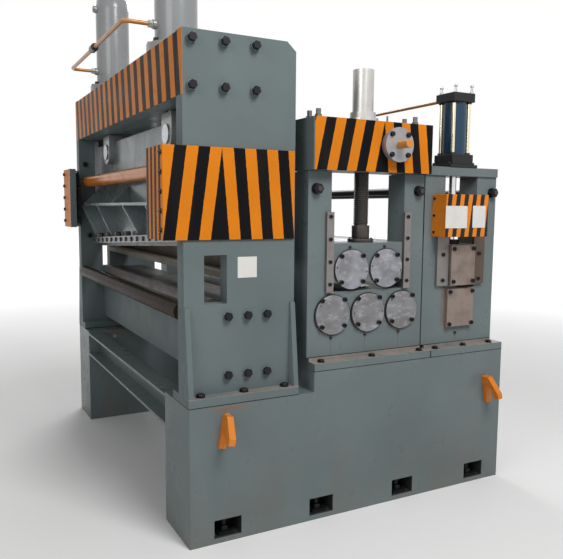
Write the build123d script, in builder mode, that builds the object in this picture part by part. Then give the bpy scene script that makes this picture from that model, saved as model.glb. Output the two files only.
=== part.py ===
"""Entry unit of a coil slitting machine, in millimetres.

One base carries a hydraulic crop shear, a five-roll straightener and a pinch-roll stand. The strip
runs along X, from +X to -X. The near side is -Y. The origin is on the floor, at the middle of the
anchor bolts. Lengths follow from the pieces that stand on the base, widths from the strip, and
heights from the level of the strip.
"""

import os

from build123d import *

os.makedirs("parts", exist_ok=True)

# Strip and clearances
pass_height = 1125.0
strip_width = 1600.0
running_gap = 0.3
free_gap = 5.0
edge_break = 5.0

# Base
sill_width = 340.0
stands_below_strip = 369.0
shear_step = 100.0
base_end_margin = 40.0
base_plate = 24.0
anchor_pitch = 510.0
anchor_hole = 36.0
anchor_inset = 60.0
pocket_width = 138.0
pocket_height = 88.0
pocket_depth = 120.0
cross_member_drop = 11.0
cross_member_height = 160.0
cross_member_width = 100.0
cross_member_wall = 14.0

# Lifting hooks on the sills
hook_height = 156.0
hook_thickness = 32.0
hook_leg = 24.0
hook_head = 48.0
hook_reach = 112.0
hook_knee_drop = 86.0
hook_tip_drop = 116.0
hook_tip = 30.0
hook_throat_drop = 62.0
hook_throat = 56.0
hook_rounding = 8.0
hook_lean = 10.0
hook_drop = 41.0
exit_hook_from_end = 180.0
entry_hook_from_end = 134.0

# Shear frame
shear_plate_inset = 55.0
shear_plate = 80.0
shear_length = 560.0
shear_foot = 44.0
shear_foot_width = 215.0
shear_corner_length = 47.0
shear_corner_height = 42.0
gusset_thickness = 25.0
gusset_below_strip = 20.0
gusset_top_width = 10.0
near_window_length = 112.0
far_window_length = 51.0
window_end = 209.0
window_below_strip = 10.0
window_height = 225.0
window_radius = 6.0
beam_length = 400.0
beam_height = 277.0
plate_above_beam = 2.0

# Shear bed and knives
knife_plane = 160.0
knife_thickness = 32.0
knife_height = 50.0
knife_gap = 0.5
knife_margin = 240.0
knife_opening = 145.0
knife_rake_drop = 106.0
bed_length = 300.0
bed_depth = 388.0
bed_drop = 15.0
bed_knife_proud = 5.0
stroke = 265.0

# Knife carrier
carrier_plate = 40.0
carrier_setback = 5.0
carrier_above_edge = 150.0
carrier_height = 570.0
nose_depth = 73.0
nose_height = 42.0
nose_above_edge = 20.0
shelf_depth = 130.0
shelf_rise = 152.0
shelf_thickness = 16.0
rib_thickness = 14.0
end_rib_inset = 10.0
inner_ribs = (-575.0, -115.0, 545.0)
rib_foot = 23.0
gusset_rise = 120.0
gusset_place = 203.0
guide_overhang = 70.0
guide_thickness = 30.0
guide_depth = 40.0
guide_head_gap = 6.0

# Shear cylinders and rods
cylinder_pitch = 1296.0
cylinder_radius = 107.5
cylinder_height = 602.0
cylinder_flange_radius = 150.0
cylinder_flange = 44.0
cylinder_cap = 60.0
cylinder_cap_step = 8.0
port_radius = 24.0
port_length = 30.0
low_port_rise = 137.0
high_port_drop = 65.0
rod_radius = 45.0
rod_length = 775.0
eye_drop = 65.0
eye_radius = 80.0
eye_length = 114.0
eye_bridge = 105.0
eye_beam_gap = 11.0
pin_radius = 26.0
pin_head_radius = 50.0
pin_head = 8.0
shear_pipe_radius = 11.0
shear_pipe_reach = 162.0
shear_pipe_bend = 35.0

# Covers of the carrier guides
cover_reach = 95.0
cover_short = 7.0
cover_above_strip = 285.0
cover_height = 412.0
cover_panel = 10.0
cover_sheet = 6.0
cover_wrap = 240.0
cover_return = 42.0

# Fixed pieces between the shear plates
spreader_radius = 38.0
spreader_axis = 50.0
spreader_above_shelf = 165.0
hold_beam_setback = 50.0
hold_beam_length = 150.0
hold_beam_above_strip = 102.0
hold_beam_plate = 30.0
hold_beam_web = 40.0
hold_beam_web_height = 120.0
exit_roller_radius = 41.5
exit_roller_axis = 26.0
exit_roller_below_strip = 6.0
exit_journal_radius = 15.0
exit_bearing_length = 48.0
exit_bearing_height = 70.0
exit_bearing_depth = 12.0

# Stands of the straightener and the pinch rolls
stand_inset = 58.0
stand_plate = 140.0
stand_gap = 76.0
stand_above_strip = 611.0
stand_foot = 41.0
stand_foot_width = 215.0
stand_seat = 20.0
stand_overhang = 14.0
foot_joint_margin = 27.0
foot_end_margin = 4.0
keeper_plate = 18.0
window_above_strip = 15.0
journal_radius = 50.0
journal_end_gap = 2.0
neck_radius = 68.0
neck_length = 60.0
barrel_margin = 100.0
roll_edge = 4.0

# Straightener
leveller_roll_radius = 100.0
leveller_roll_gap = 15.0
leveller_window_margin = 10.0
leveller_post = 133.0
roll_opening = 25.0
round_cover_gap = 8.0
lower_cover_plate = 16.0
upper_cover_plate = 12.0
carriage_below_roll = 62.0
carriage_above_roll = 133.0
carriage_boss = 6.0
leveller_keeper_lap = 7.0
leveller_keeper_width = 41.0
leveller_keeper_height = 398.0
screw_inset = 130.0
screw_radius = 38.5
screw_foot_radius = 67.0
screw_foot = 18.0
screw_collar_radius = 46.0
screw_collar = 68.0

# Screw boxes, covers and cross shaft
box_gap = 2.0
box_overhang = 4.0
box_height = 250.0
box_width = 200.0
box_edge = 6.0
screw_cover_flange_radius = 80.0
screw_cover_flange = 22.0
screw_cover_hub_radius = 66.0
screw_cover_hub = 52.0
screw_cover_radius = 54.0
screw_cover_height = 264.0
screw_cover_lid = 12.0
screw_headroom = 88.0
shaft_radius = 22.0
shaft_offset = 105.0
shaft_rise = 135.0
shaft_stub = 78.0
shaft_stub_radius = 21.0
shaft_flange_radius = 86.0
shaft_flange = 47.0
shaft_flange_face = 18.0
shaft_flange_neck_radius = 76.0

# Tie bars
tie_radius = 20.0
tie_drop = 86.0
tie_washer_radius = 28.0
tie_washer = 5.0
tie_nut_flats = 46.0
tie_nut = 24.0
leveller_tie_inset = 45.0
pinch_tie_inset = 35.0

# Pinch-roll stand
pinch_roll_radius = 110.0
pinch_post = 144.0
pinch_opening = 16.0
chock_margin = 3.0
pinch_boss_width = 172.0
pinch_boss = 23.0
pinch_keeper_width = 80.0
pinch_keeper_height = 460.0
lower_square_cover = 190.0
upper_square_plate = 14.0
lower_square_plate = 26.0
top_plate = 48.0
top_plate_width = 165.0
guard_before_axis = 203.0
guard_depth = 110.0
guard_above_strip = 285.0
guard_height = 225.0
guard_sheet = 4.0

# Pinch cylinders
pinch_mount_length = 195.0
pinch_mount_width = 172.0
pinch_mount = 16.0
pinch_block_length = 150.0
pinch_block_width = 148.0
pinch_block = 56.0
pinch_tube_radius = 65.0
pinch_tube_length = 282.0
pinch_head = 48.0
pinch_tie_radius = 10.0
pinch_tie_spread_x = 106.0
pinch_tie_spread_y = 100.0
pinch_rod_radius = 20.0
pinch_bore_margin = 28.0
pinch_rod_travel = 112.0
pinch_foot_radius = 46.0
pinch_foot = 24.0
pinch_pipe_radius = 9.0

# Widths, from the strip outwards
knife_length = strip_width + 2 * knife_margin
carrier_half_width = knife_length / 2
shear_inside = carrier_half_width + free_gap + guide_depth
shear_outside = shear_inside + shear_plate
half_width = shear_outside + shear_plate_inset
machine_width = 2 * half_width
sill_inside = half_width - sill_width
stand_outside = half_width - stand_inset
stand_inside = stand_outside - stand_plate
keeper_face = stand_outside + keeper_plate
screw_y = half_width - screw_inset
barrel_end = strip_width / 2 + barrel_margin
neck_end = barrel_end + neck_length
journal_start = stand_inside - 2 * free_gap
journal_end = stand_outside - journal_end_gap
rod_y = cylinder_pitch / 2

# Lengths, counted from the exit end of the base and then from its middle
leveller_roll_pitch = 2 * leveller_roll_radius + leveller_roll_gap
leveller_window = 2 * (leveller_roll_pitch + leveller_window_margin)
leveller_length = leveller_window + 2 * leveller_post
pinch_window = 2 * (pinch_roll_radius + free_gap)
pinch_length = pinch_window + 2 * pinch_post
base_length = shear_length + stand_gap + leveller_length + pinch_length + base_end_margin
half_length = base_length / 2
exit_end = -half_length
shear_end = exit_end + shear_length
leveller_start = shear_end + stand_gap
leveller_x = leveller_start + leveller_length / 2
leveller_end = leveller_start + leveller_length
pinch_end = leveller_end + pinch_length
pinch_x = (leveller_end + pinch_end) / 2
bed_sill_end = leveller_start + stand_overhang
foot_joint = leveller_end + foot_joint_margin
anchor_places = [anchor_pitch * step for step in (-1.5, -0.5, 0.5, 1.5)]
knife_x = exit_end + knife_plane
carrier_x = knife_x - carrier_setback
carrier_front = carrier_x - carrier_plate / 2
upper_roll_places = [leveller_x + leveller_roll_pitch * step for step in (-0.5, 0.5)]
lower_roll_places = [leveller_x + leveller_roll_pitch * step for step in (-1, 0, 1)]
shaft_x = leveller_x + shaft_offset
tie_places = [
    leveller_start + leveller_tie_inset,
    leveller_end - leveller_tie_inset,
    pinch_end - pinch_tie_inset,
]

# Heights, from the strip down to the base and up to the cylinders
stand_sill_height = pass_height - stands_below_strip
bed_sill_height = stand_sill_height - shear_step
shear_floor = bed_sill_height + shear_foot
stand_floor = stand_sill_height + stand_foot + stand_seat
knife_lowest = pass_height + knife_opening
carrier_low = knife_lowest + carrier_above_edge
carrier_top = carrier_low + carrier_height
shelf_level = carrier_low + shelf_rise
eye_level = carrier_top - eye_drop
eye_bridge_top = eye_level + eye_bridge
beam_bottom = eye_bridge_top + eye_beam_gap
beam_top = beam_bottom + beam_height
shear_top = beam_top + plate_above_beam
rod_top = eye_bridge_top + rod_length
stand_top = pass_height + stand_above_strip
window_low = pass_height + window_above_strip
lower_roll_level = pass_height - leveller_roll_radius
upper_roll_level = pass_height + roll_opening + leveller_roll_radius
carriage_low = upper_roll_level - carriage_below_roll
carriage_top = upper_roll_level + carriage_above_roll
box_bottom = stand_top + box_gap
box_top = box_bottom + box_height
shaft_level = box_bottom + shaft_rise
tie_level = stand_top - tie_drop
lower_pinch_level = pass_height - pinch_roll_radius
upper_pinch_level = pass_height + pinch_opening + pinch_roll_radius
chock_half_height = pinch_roll_radius + chock_margin
lower_chock_low = lower_pinch_level - pinch_roll_radius
lower_chock_top = pass_height - chock_margin


def write(part, name):
    """Label a finished piece and write it."""
    part.label = name
    export_step(part, f"parts/{name}.step")


def both_sides(near):
    """Return a near piece and its mirror image on the far side, as one part."""
    with BuildPart() as pair:
        add(near)
        mirror(near, about=Plane.XZ)
    return pair.part


def far_side(near):
    """Return the mirror image of a near piece."""
    with BuildPart() as opposite:
        mirror(near, about=Plane.XZ)
    return opposite.part


def knife_edge(y):
    """Height of the raked edge of the upper knife at y."""
    return knife_lowest + knife_rake_drop * (carrier_half_width - y) / knife_length


def upright_plane(x, y):
    """Plane that faces the near side, with its origin on the floor at x and y."""
    return Plane(origin=(x, y, 0), x_dir=(1, 0, 0), z_dir=(0, -1, 0))


# Sills, with an anchor pocket over each foundation bolt
with BuildPart() as near_sill:
    with BuildSketch(Plane.XZ.offset(sill_inside)):
        with BuildLine():
            Polyline(
                (exit_end, 0),
                (half_length, 0),
                (half_length, stand_sill_height),
                (bed_sill_end, stand_sill_height),
                (bed_sill_end, bed_sill_height),
                (exit_end, bed_sill_height),
                close=True,
            )
        make_face()
    extrude(amount=sill_width)
    chamfer(near_sill.edges().filter_by(Axis.Z).group_by(Axis.Y)[0], edge_break)
    with BuildSketch(Plane.XZ.offset(half_width)):
        with Locations(*[(x, base_plate + pocket_height / 2) for x in anchor_places]):
            Rectangle(pocket_width, pocket_height)
    extrude(amount=-pocket_depth, mode=Mode.SUBTRACT)
    with Locations(*[(x, anchor_inset - half_width, base_plate) for x in anchor_places]):
        Hole(anchor_hole / 2, depth=base_plate)
write(near_sill.part, "near_sill")
write(far_side(near_sill.part), "far_sill")

# Channels that join the sills at both ends
channel_middle = bed_sill_height - cross_member_drop - cross_member_height / 2
with BuildPart() as exit_channel:
    with BuildSketch(Plane.XZ):
        with Locations((exit_end, channel_middle)):
            Rectangle(
                cross_member_width,
                cross_member_height,
                align=(Align.MIN, Align.CENTER),
            )
            Rectangle(
                cross_member_width - cross_member_wall,
                cross_member_height - 2 * cross_member_wall,
                align=(Align.MIN, Align.CENTER),
                mode=Mode.SUBTRACT,
            )
    extrude(amount=sill_inside, both=True)
with BuildPart() as cross_members:
    add(exit_channel.part)
    mirror(exit_channel.part, about=Plane.YZ)
write(cross_members.part, "cross_members")

# Lifting hooks: upright plates that open downwards and lean outwards at the foot, as the slings pull
hook_top = bed_sill_height - hook_drop


def lifting_hook(x, lean):
    """Return one near hook at x, whose foot leans by an angle towards +X."""
    across = Vector(-1, 0, 0).rotate(Axis.Y, -lean)
    face = Plane(origin=(x, -half_width, hook_top), x_dir=(0, -1, 0), z_dir=across)
    with BuildPart() as hook:
        with BuildSketch(face) as outline:
            with BuildLine():
                Polyline(
                    (0, 0),
                    (hook_head, 0),
                    (hook_reach, -hook_knee_drop),
                    (hook_reach, -hook_tip_drop),
                    (hook_reach - hook_tip, -hook_tip_drop),
                    (hook_throat, -hook_throat_drop),
                    (hook_leg, -hook_throat_drop),
                    (hook_leg, -hook_height),
                    (0, -hook_height),
                    close=True,
                )
            make_face()
            fillet([corner for corner in outline.vertices() if corner.Y < -half_width - free_gap], hook_rounding)
        extrude(amount=hook_thickness / 2, both=True)
    return hook.part


with BuildPart() as near_hooks:
    add(lifting_hook(exit_end + exit_hook_from_end, -hook_lean))
    add(lifting_hook(half_length - entry_hook_from_end, hook_lean))
write(both_sides(near_hooks.part), "lifting_hooks")


# Side plates of the shear, with their feet, gussets and windows
def shear_side(window_length):
    """Return the near side plate of the shear, with a window of the given length."""
    with BuildPart() as side:
        with BuildSketch(Plane.XZ.offset(shear_inside)):
            with BuildLine():
                Polyline(
                    (exit_end, shear_floor),
                    (shear_end, shear_floor),
                    (shear_end, shear_top - shear_corner_height),
                    (shear_end - shear_corner_length, shear_top),
                    (exit_end, shear_top),
                    close=True,
                )
            make_face()
            with Locations(
                (
                    exit_end + window_end - window_length / 2,
                    pass_height - window_below_strip + window_height / 2,
                )
            ):
                RectangleRounded(window_length, window_height, window_radius, mode=Mode.SUBTRACT)
        extrude(amount=shear_plate)
        with BuildSketch(Plane.XY.offset(bed_sill_height)):
            with Locations((exit_end + shear_length / 2, shear_foot_width / 2 - half_width)):
                Rectangle(shear_length, shear_foot_width)
        extrude(amount=shear_foot)
        for plane_x in (exit_end, shear_end - gusset_thickness):
            with BuildSketch(Plane.YZ.offset(plane_x)):
                with BuildLine():
                    Polyline(
                        (-shear_outside, shear_floor),
                        (-half_width, shear_floor),
                        (-shear_outside - gusset_top_width, pass_height - gusset_below_strip),
                        (-shear_outside, pass_height - gusset_below_strip),
                        close=True,
                    )
                make_face()
            extrude(amount=gusset_thickness)
    return side.part


write(shear_side(near_window_length), "near_shear_plate")
write(far_side(shear_side(far_window_length)), "far_shear_plate")

# Top beam between the plates, bored for the cylinder rods
with BuildPart() as shear_top_beam:
    with BuildSketch(Plane.XZ):
        with Locations((exit_end + beam_length / 2, (beam_bottom + beam_top) / 2)):
            Rectangle(beam_length, beam_height)
    extrude(amount=shear_inside, both=True)
    with Locations((carrier_x, -rod_y, beam_top), (carrier_x, rod_y, beam_top)):
        Hole(rod_radius + free_gap, depth=beam_height)
write(shear_top_beam.part, "shear_top_beam")

# Bed, with a seat along its exit edge for the lower knife
knife_back = knife_x + knife_thickness
bed_front = knife_x + bed_knife_proud
knife_seat = pass_height - knife_height
with BuildPart() as shear_bed:
    with BuildSketch(Plane.XZ):
        with BuildLine():
            Polyline(
                (bed_front, pass_height - bed_depth),
                (bed_front + bed_length, pass_height - bed_depth),
                (bed_front + bed_length, pass_height - bed_drop),
                (knife_back, pass_height - bed_drop),
                (knife_back, knife_seat),
                (bed_front, knife_seat),
                close=True,
            )
        make_face()
    extrude(amount=shear_inside, both=True)
write(shear_bed.part, "shear_bed")

with BuildPart() as lower_knife:
    with Locations((knife_x, 0, knife_seat)):
        Box(
            knife_thickness,
            knife_length,
            knife_height,
            align=(Align.MIN, Align.CENTER, Align.MIN),
        )
write(lower_knife.part, "lower_knife")

# Upright guides that the ends of the knife carrier run in
guide_low = carrier_low - guide_overhang
guide_top = beam_bottom - guide_head_gap
guide_offset = carrier_plate / 2 + running_gap + guide_thickness / 2
with BuildPart() as near_guides:
    with BuildSketch(Plane.XZ.offset(shear_inside - guide_depth)):
        with Locations(
            (carrier_x - guide_offset, (guide_low + guide_top) / 2),
            (carrier_x + guide_offset, (guide_low + guide_top) / 2),
        ):
            Rectangle(guide_thickness, guide_top - guide_low)
    extrude(amount=guide_depth)
write(both_sides(near_guides.part), "carrier_guides")

# Knife carrier: a plate whose lower edge follows the rake of the knife, with a nose bar in front of
# it, a level shelf, ribs from the shelf down to the nose bar, and gussets on the shelf
nose_back = knife_x - free_gap
nose_x = nose_back - nose_depth
shelf_x = carrier_front - shelf_depth
knife_front = knife_x - knife_gap - knife_thickness
rib_places = (end_rib_inset - carrier_half_width, *inner_ribs, carrier_half_width - end_rib_inset)
gusset_places = (end_rib_inset - carrier_half_width, gusset_place, carrier_half_width - end_rib_inset)
with BuildPart() as knife_carrier:
    with BuildSketch(Plane.XZ):
        with Locations((carrier_x, (carrier_low + carrier_top) / 2)):
            Rectangle(carrier_plate, carrier_height)
    extrude(amount=shear_inside - running_gap, both=True)
    with BuildSketch(Plane.XZ):
        with Locations(((shelf_x + carrier_front) / 2, shelf_level)):
            Rectangle(shelf_depth, shelf_thickness)
    extrude(amount=carrier_half_width, both=True)
    with BuildSketch(Plane.YZ.offset(carrier_front)):
        with BuildLine():
            Polyline(
                (-carrier_half_width, knife_edge(-carrier_half_width) + nose_above_edge),
                (carrier_half_width, knife_edge(carrier_half_width) + nose_above_edge),
                (carrier_half_width, shelf_level),
                (-carrier_half_width, shelf_level),
                close=True,
            )
        make_face()
    extrude(amount=nose_back - carrier_front)
    with BuildSketch(Plane.YZ.offset(nose_x)):
        with BuildLine():
            Polyline(
                (-carrier_half_width, knife_edge(-carrier_half_width) + nose_above_edge),
                (carrier_half_width, knife_edge(carrier_half_width) + nose_above_edge),
                (carrier_half_width, knife_edge(carrier_half_width) + nose_above_edge + nose_height),
                (-carrier_half_width, knife_edge(-carrier_half_width) + nose_above_edge + nose_height),
                close=True,
            )
        make_face()
    extrude(amount=nose_depth)
    for y in rib_places:
        nose_middle = knife_edge(y) + nose_above_edge + nose_height / 2
        with BuildSketch(Plane.XZ.offset(-y - rib_thickness / 2)):
            with BuildLine():
                Polyline(
                    (shelf_x, shelf_level),
                    (shelf_x, shelf_level - shelf_thickness),
                    (carrier_front - rib_foot, nose_middle),
                    (carrier_front, nose_middle),
                    (carrier_front, shelf_level),
                    close=True,
                )
            make_face()
        extrude(amount=rib_thickness)
    for y in gusset_places:
        with BuildSketch(Plane.XZ.offset(-y - rib_thickness / 2)):
            with BuildLine():
                Polyline(
                    (shelf_x, shelf_level),
                    (carrier_front, shelf_level),
                    (carrier_front, shelf_level + gusset_rise),
                    close=True,
                )
            make_face()
        extrude(amount=rib_thickness)
    with BuildSketch(Plane.YZ.offset(knife_front)):
        with BuildLine():
            Polyline(
                (-shear_outside, knife_edge(-shear_outside) - stroke),
                (shear_outside, knife_edge(shear_outside) - stroke),
                (shear_outside, knife_edge(shear_outside) + knife_height),
                (-shear_outside, knife_edge(-shear_outside) + knife_height),
                close=True,
            )
        make_face()
    extrude(amount=knife_thickness, mode=Mode.SUBTRACT)
    with BuildSketch(Plane.YZ.offset(carrier_front)):
        with Locations((-rod_y, eye_level), (rod_y, eye_level)):
            Circle(pin_radius + running_gap)
    extrude(amount=carrier_plate, mode=Mode.SUBTRACT)
write(knife_carrier.part, "knife_carrier")

with BuildPart() as upper_knife:
    with BuildSketch(Plane.YZ.offset(knife_front)):
        with BuildLine():
            Polyline(
                (-carrier_half_width, knife_edge(-carrier_half_width)),
                (carrier_half_width, knife_edge(carrier_half_width)),
                (carrier_half_width, knife_edge(carrier_half_width) + knife_height),
                (-carrier_half_width, knife_edge(-carrier_half_width) + knife_height),
                close=True,
            )
        make_face()
    extrude(amount=knife_thickness)
write(upper_knife.part, "upper_knife")

# Piston rods with forked ends that straddle the carrier plate
fork_slot = carrier_plate + 2 * running_gap
fork_slot_top = carrier_top + free_gap
eye_start = carrier_x - eye_length / 2
with BuildPart() as near_shear_rod:
    with BuildSketch(Plane.YZ.offset(eye_start)):
        with Locations((-rod_y, eye_level)):
            Circle(eye_radius)
            Rectangle(2 * eye_radius, eye_bridge, align=(Align.CENTER, Align.MIN))
            Circle(pin_radius + running_gap, mode=Mode.SUBTRACT)
    extrude(amount=eye_length)
    with Locations((carrier_x, -rod_y, fork_slot_top)):
        Box(
            fork_slot,
            2 * eye_radius,
            fork_slot_top - eye_level + eye_radius,
            align=(Align.CENTER, Align.CENTER, Align.MAX),
            mode=Mode.SUBTRACT,
        )
    with BuildSketch(Plane.XY.offset(eye_bridge_top)):
        with Locations((carrier_x, -rod_y)):
            Circle(rod_radius)
    extrude(amount=rod_length)
write(both_sides(near_shear_rod.part), "shear_rods")

with BuildPart() as near_rod_pin:
    with BuildSketch(Plane.YZ.offset(eye_start)):
        with Locations((-rod_y, eye_level)):
            Circle(pin_radius)
    extrude(amount=eye_length)
    for plane_x in (eye_start - pin_head, eye_start + eye_length):
        with BuildSketch(Plane.YZ.offset(plane_x)):
            with Locations((-rod_y, eye_level)):
                Circle(pin_head_radius)
        extrude(amount=pin_head)
write(both_sides(near_rod_pin.part), "rod_pins")

# Shear cylinders on the top beam, with two ports each
cylinder_top = beam_top + cylinder_height
rod_bore_top = rod_top + 2 * free_gap
low_port = beam_top + low_port_rise
port_face = carrier_x - cylinder_radius - port_length / 2
with BuildPart() as near_shear_cylinder:
    with BuildSketch(upright_plane(carrier_x, -rod_y)):
        with BuildLine():
            Polyline(
                (rod_radius + running_gap, beam_top),
                (cylinder_flange_radius, beam_top),
                (cylinder_flange_radius, beam_top + cylinder_flange),
                (cylinder_radius, beam_top + cylinder_flange),
                (cylinder_radius, cylinder_top - cylinder_cap),
                (cylinder_radius - cylinder_cap_step, cylinder_top),
                (0, cylinder_top),
                (0, rod_bore_top),
                (rod_radius + running_gap, rod_bore_top),
                close=True,
            )
        make_face()
    revolve(axis=Axis((carrier_x, -rod_y, 0), (0, 0, 1)))
    with BuildSketch(Plane.YZ.offset(port_face)):
        with Locations((-rod_y, low_port), (-rod_y, cylinder_top - high_port_drop)):
            Circle(port_radius)
    extrude(amount=port_length)
write(near_shear_cylinder.part, "near_shear_cylinder")
write(far_side(near_shear_cylinder.part), "far_shear_cylinder")

# Rigid pipe between the lower ports, with a tee in the middle
pipe_x = carrier_x - cylinder_radius - shear_pipe_reach
with BuildPart() as shear_oil_pipe:
    with BuildLine() as pipe_path:
        FilletPolyline(
            (port_face, -rod_y, low_port),
            (pipe_x, -rod_y, low_port),
            (pipe_x, rod_y, low_port),
            (port_face, rod_y, low_port),
            radius=shear_pipe_bend,
        )
    with BuildSketch(Plane(origin=(port_face, -rod_y, low_port), z_dir=(-1, 0, 0))):
        Circle(shear_pipe_radius)
    sweep(path=pipe_path.line)
    with BuildSketch(Plane.XZ):
        with Locations((pipe_x, low_port)):
            Circle(2 * shear_pipe_radius)
    extrude(amount=port_length, both=True)
write(shear_oil_pipe.part, "shear_oil_pipe")

# Hazard covers over the carrier guides, wrapped round the exit edge of each side plate
cover_x = exit_end - cover_reach
cover_length = shear_end - cover_short - cover_x
cover_low = pass_height + cover_above_strip
cover_back = cover_wrap - shear_outside - cover_panel
with BuildPart() as near_guide_cover:
    with BuildSketch(Plane.XZ.offset(shear_outside)):
        with Locations((cover_x + cover_length / 2, cover_low + cover_height / 2)):
            Rectangle(cover_length, cover_height)
    extrude(amount=cover_panel)
    with BuildSketch(Plane.XY.offset(cover_low)):
        with BuildLine():
            Polyline(
                (cover_x, -shear_outside),
                (cover_x, cover_back),
                (cover_x + cover_return, cover_back),
                (cover_x + cover_return, cover_back - cover_sheet),
                (cover_x + cover_sheet, cover_back - cover_sheet),
                (cover_x + cover_sheet, -shear_outside),
                close=True,
            )
        make_face()
    extrude(amount=cover_height)
    with BuildSketch(Plane.XY.offset(cover_low + cover_height - cover_sheet)):
        with BuildLine():
            Polyline(
                (cover_x, -shear_outside),
                (cover_x, cover_back),
                (cover_x + cover_return, cover_back),
                (cover_x + cover_return, -shear_outside),
                close=True,
            )
        make_face()
    extrude(amount=cover_sheet)
write(near_guide_cover.part, "near_guide_cover")
write(far_side(near_guide_cover.part), "far_guide_cover")

# Spreader tube in front of the carrier
with BuildPart() as spreader_tube:
    with BuildSketch(Plane.XZ):
        with Locations((exit_end + spreader_axis, shelf_level + spreader_above_shelf)):
            Circle(spreader_radius)
    extrude(amount=shear_inside, both=True)
write(spreader_tube.part, "spreader_tube")

# Hold-down beam behind the knives
hold_end = knife_x + hold_beam_setback + hold_beam_length
with BuildPart() as hold_down_beam:
    with BuildSketch(Plane.XZ):
        with Locations((hold_end, pass_height + hold_beam_above_strip)):
            Rectangle(hold_beam_length, hold_beam_plate, align=(Align.MAX, Align.MIN))
            Rectangle(
                hold_beam_web,
                hold_beam_plate + hold_beam_web_height,
                align=(Align.MAX, Align.MIN),
            )
    extrude(amount=shear_inside, both=True)
write(hold_down_beam.part, "hold_down_beam")

# Exit roller and the bearings that carry it on the side plates
exit_roller_x = exit_end + exit_roller_axis
exit_roller_level = pass_height - exit_roller_below_strip - exit_roller_radius
exit_bearing_inside = shear_inside - exit_bearing_depth
with BuildPart() as exit_roller:
    with BuildSketch(Plane.XZ):
        with Locations((exit_roller_x, exit_roller_level)):
            Circle(exit_roller_radius)
    extrude(amount=exit_bearing_inside - free_gap, both=True)
    with BuildSketch(Plane.XZ):
        with Locations((exit_roller_x, exit_roller_level)):
            Circle(exit_journal_radius)
    extrude(amount=shear_inside - running_gap, both=True)
write(exit_roller.part, "exit_roller")

with BuildPart() as near_exit_bearing:
    with BuildSketch(Plane.XZ.offset(exit_bearing_inside)):
        with Locations((exit_roller_x, exit_roller_level)):
            RectangleRounded(exit_bearing_length, exit_bearing_height, 2 * edge_break)
            Circle(exit_journal_radius + running_gap, mode=Mode.SUBTRACT)
    extrude(amount=exit_bearing_depth)
write(both_sides(near_exit_bearing.part), "exit_bearings")

# Stands of the straightener: plates with an open window, bored for the lower rolls
with BuildPart() as near_leveller_stand:
    with BuildSketch(Plane.XZ.offset(stand_inside)):
        with Locations((leveller_x, (stand_floor + stand_top) / 2)):
            Rectangle(leveller_length, stand_top - stand_floor)
        with Locations((leveller_x, (window_low + stand_top) / 2)):
            Rectangle(leveller_window, stand_top - window_low, mode=Mode.SUBTRACT)
        with Locations(*[(x, lower_roll_level) for x in lower_roll_places]):
            Circle(journal_radius + running_gap, mode=Mode.SUBTRACT)
        with Locations(*[(x, tie_level) for x in tie_places[:2]]):
            Circle(tie_radius + running_gap, mode=Mode.SUBTRACT)
    extrude(amount=stand_plate)
    with BuildSketch(Plane.XY.offset(stand_sill_height)):
        with Locations(((bed_sill_end + foot_joint) / 2, stand_foot_width / 2 - half_width)):
            Rectangle(foot_joint - bed_sill_end, stand_foot_width)
    extrude(amount=stand_foot)
    with BuildSketch(Plane.XY.offset(stand_floor)):
        with Locations(((bed_sill_end + leveller_end) / 2, -(stand_inside + stand_outside) / 2)):
            Rectangle(leveller_end - bed_sill_end, stand_plate)
    extrude(amount=-stand_seat)
write(near_leveller_stand.part, "near_leveller_stand")
write(far_side(near_leveller_stand.part), "far_leveller_stand")

# Keepers that hold the carriages in their windows
leveller_keeper_x = (leveller_window + leveller_keeper_width) / 2 - leveller_keeper_lap
with BuildPart() as near_leveller_keepers:
    with BuildSketch(Plane.XZ.offset(stand_outside)):
        with Locations(
            (leveller_x - leveller_keeper_x, window_low + leveller_keeper_height / 2),
            (leveller_x + leveller_keeper_x, window_low + leveller_keeper_height / 2),
        ):
            Rectangle(leveller_keeper_width, leveller_keeper_height)
    extrude(amount=keeper_plate)
write(both_sides(near_leveller_keepers.part), "leveller_keepers")

# Round covers over the lower roll bearings
round_cover_radius = (leveller_roll_pitch - round_cover_gap) / 2
with BuildPart() as near_lower_covers:
    with BuildSketch(Plane.XZ.offset(stand_outside)):
        with Locations(*[(x, lower_roll_level) for x in lower_roll_places]):
            Circle(round_cover_radius)
    extrude(amount=lower_cover_plate)
    chamfer(near_lower_covers.faces().group_by(Axis.Y)[0].edges(), edge_break)
write(both_sides(near_lower_covers.part), "lower_roll_covers")

# Carriages of the upper rolls, which slide in the stand windows
carriage_boss_width = leveller_window - 2 * leveller_keeper_lap - 2 * free_gap
with BuildPart() as near_carriage:
    with BuildSketch(Plane.XZ.offset(stand_inside)):
        with Locations((leveller_x, (carriage_low + carriage_top) / 2)):
            Rectangle(leveller_window - 2 * running_gap, carriage_top - carriage_low)
    extrude(amount=stand_plate - running_gap)
    with BuildSketch(Plane.XZ.offset(stand_outside - running_gap)):
        with Locations((leveller_x, (carriage_low + carriage_top) / 2)):
            Rectangle(carriage_boss_width, carriage_top - carriage_low)
    extrude(amount=carriage_boss + running_gap)
    with BuildSketch(Plane.XZ.offset(stand_inside)):
        with Locations(*[(x, upper_roll_level) for x in upper_roll_places]):
            Circle(journal_radius + running_gap)
    extrude(amount=stand_plate + carriage_boss, mode=Mode.SUBTRACT)
write(near_carriage.part, "near_carriage")
write(far_side(near_carriage.part), "far_carriage")

with BuildPart() as near_upper_covers:
    with BuildSketch(Plane.XZ.offset(stand_outside + carriage_boss)):
        with Locations(*[(x, upper_roll_level) for x in upper_roll_places]):
            Circle(round_cover_radius)
    extrude(amount=upper_cover_plate)
    chamfer(near_upper_covers.faces().group_by(Axis.Y)[0].edges(), edge_break)
write(both_sides(near_upper_covers.part), "upper_roll_covers")

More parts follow.
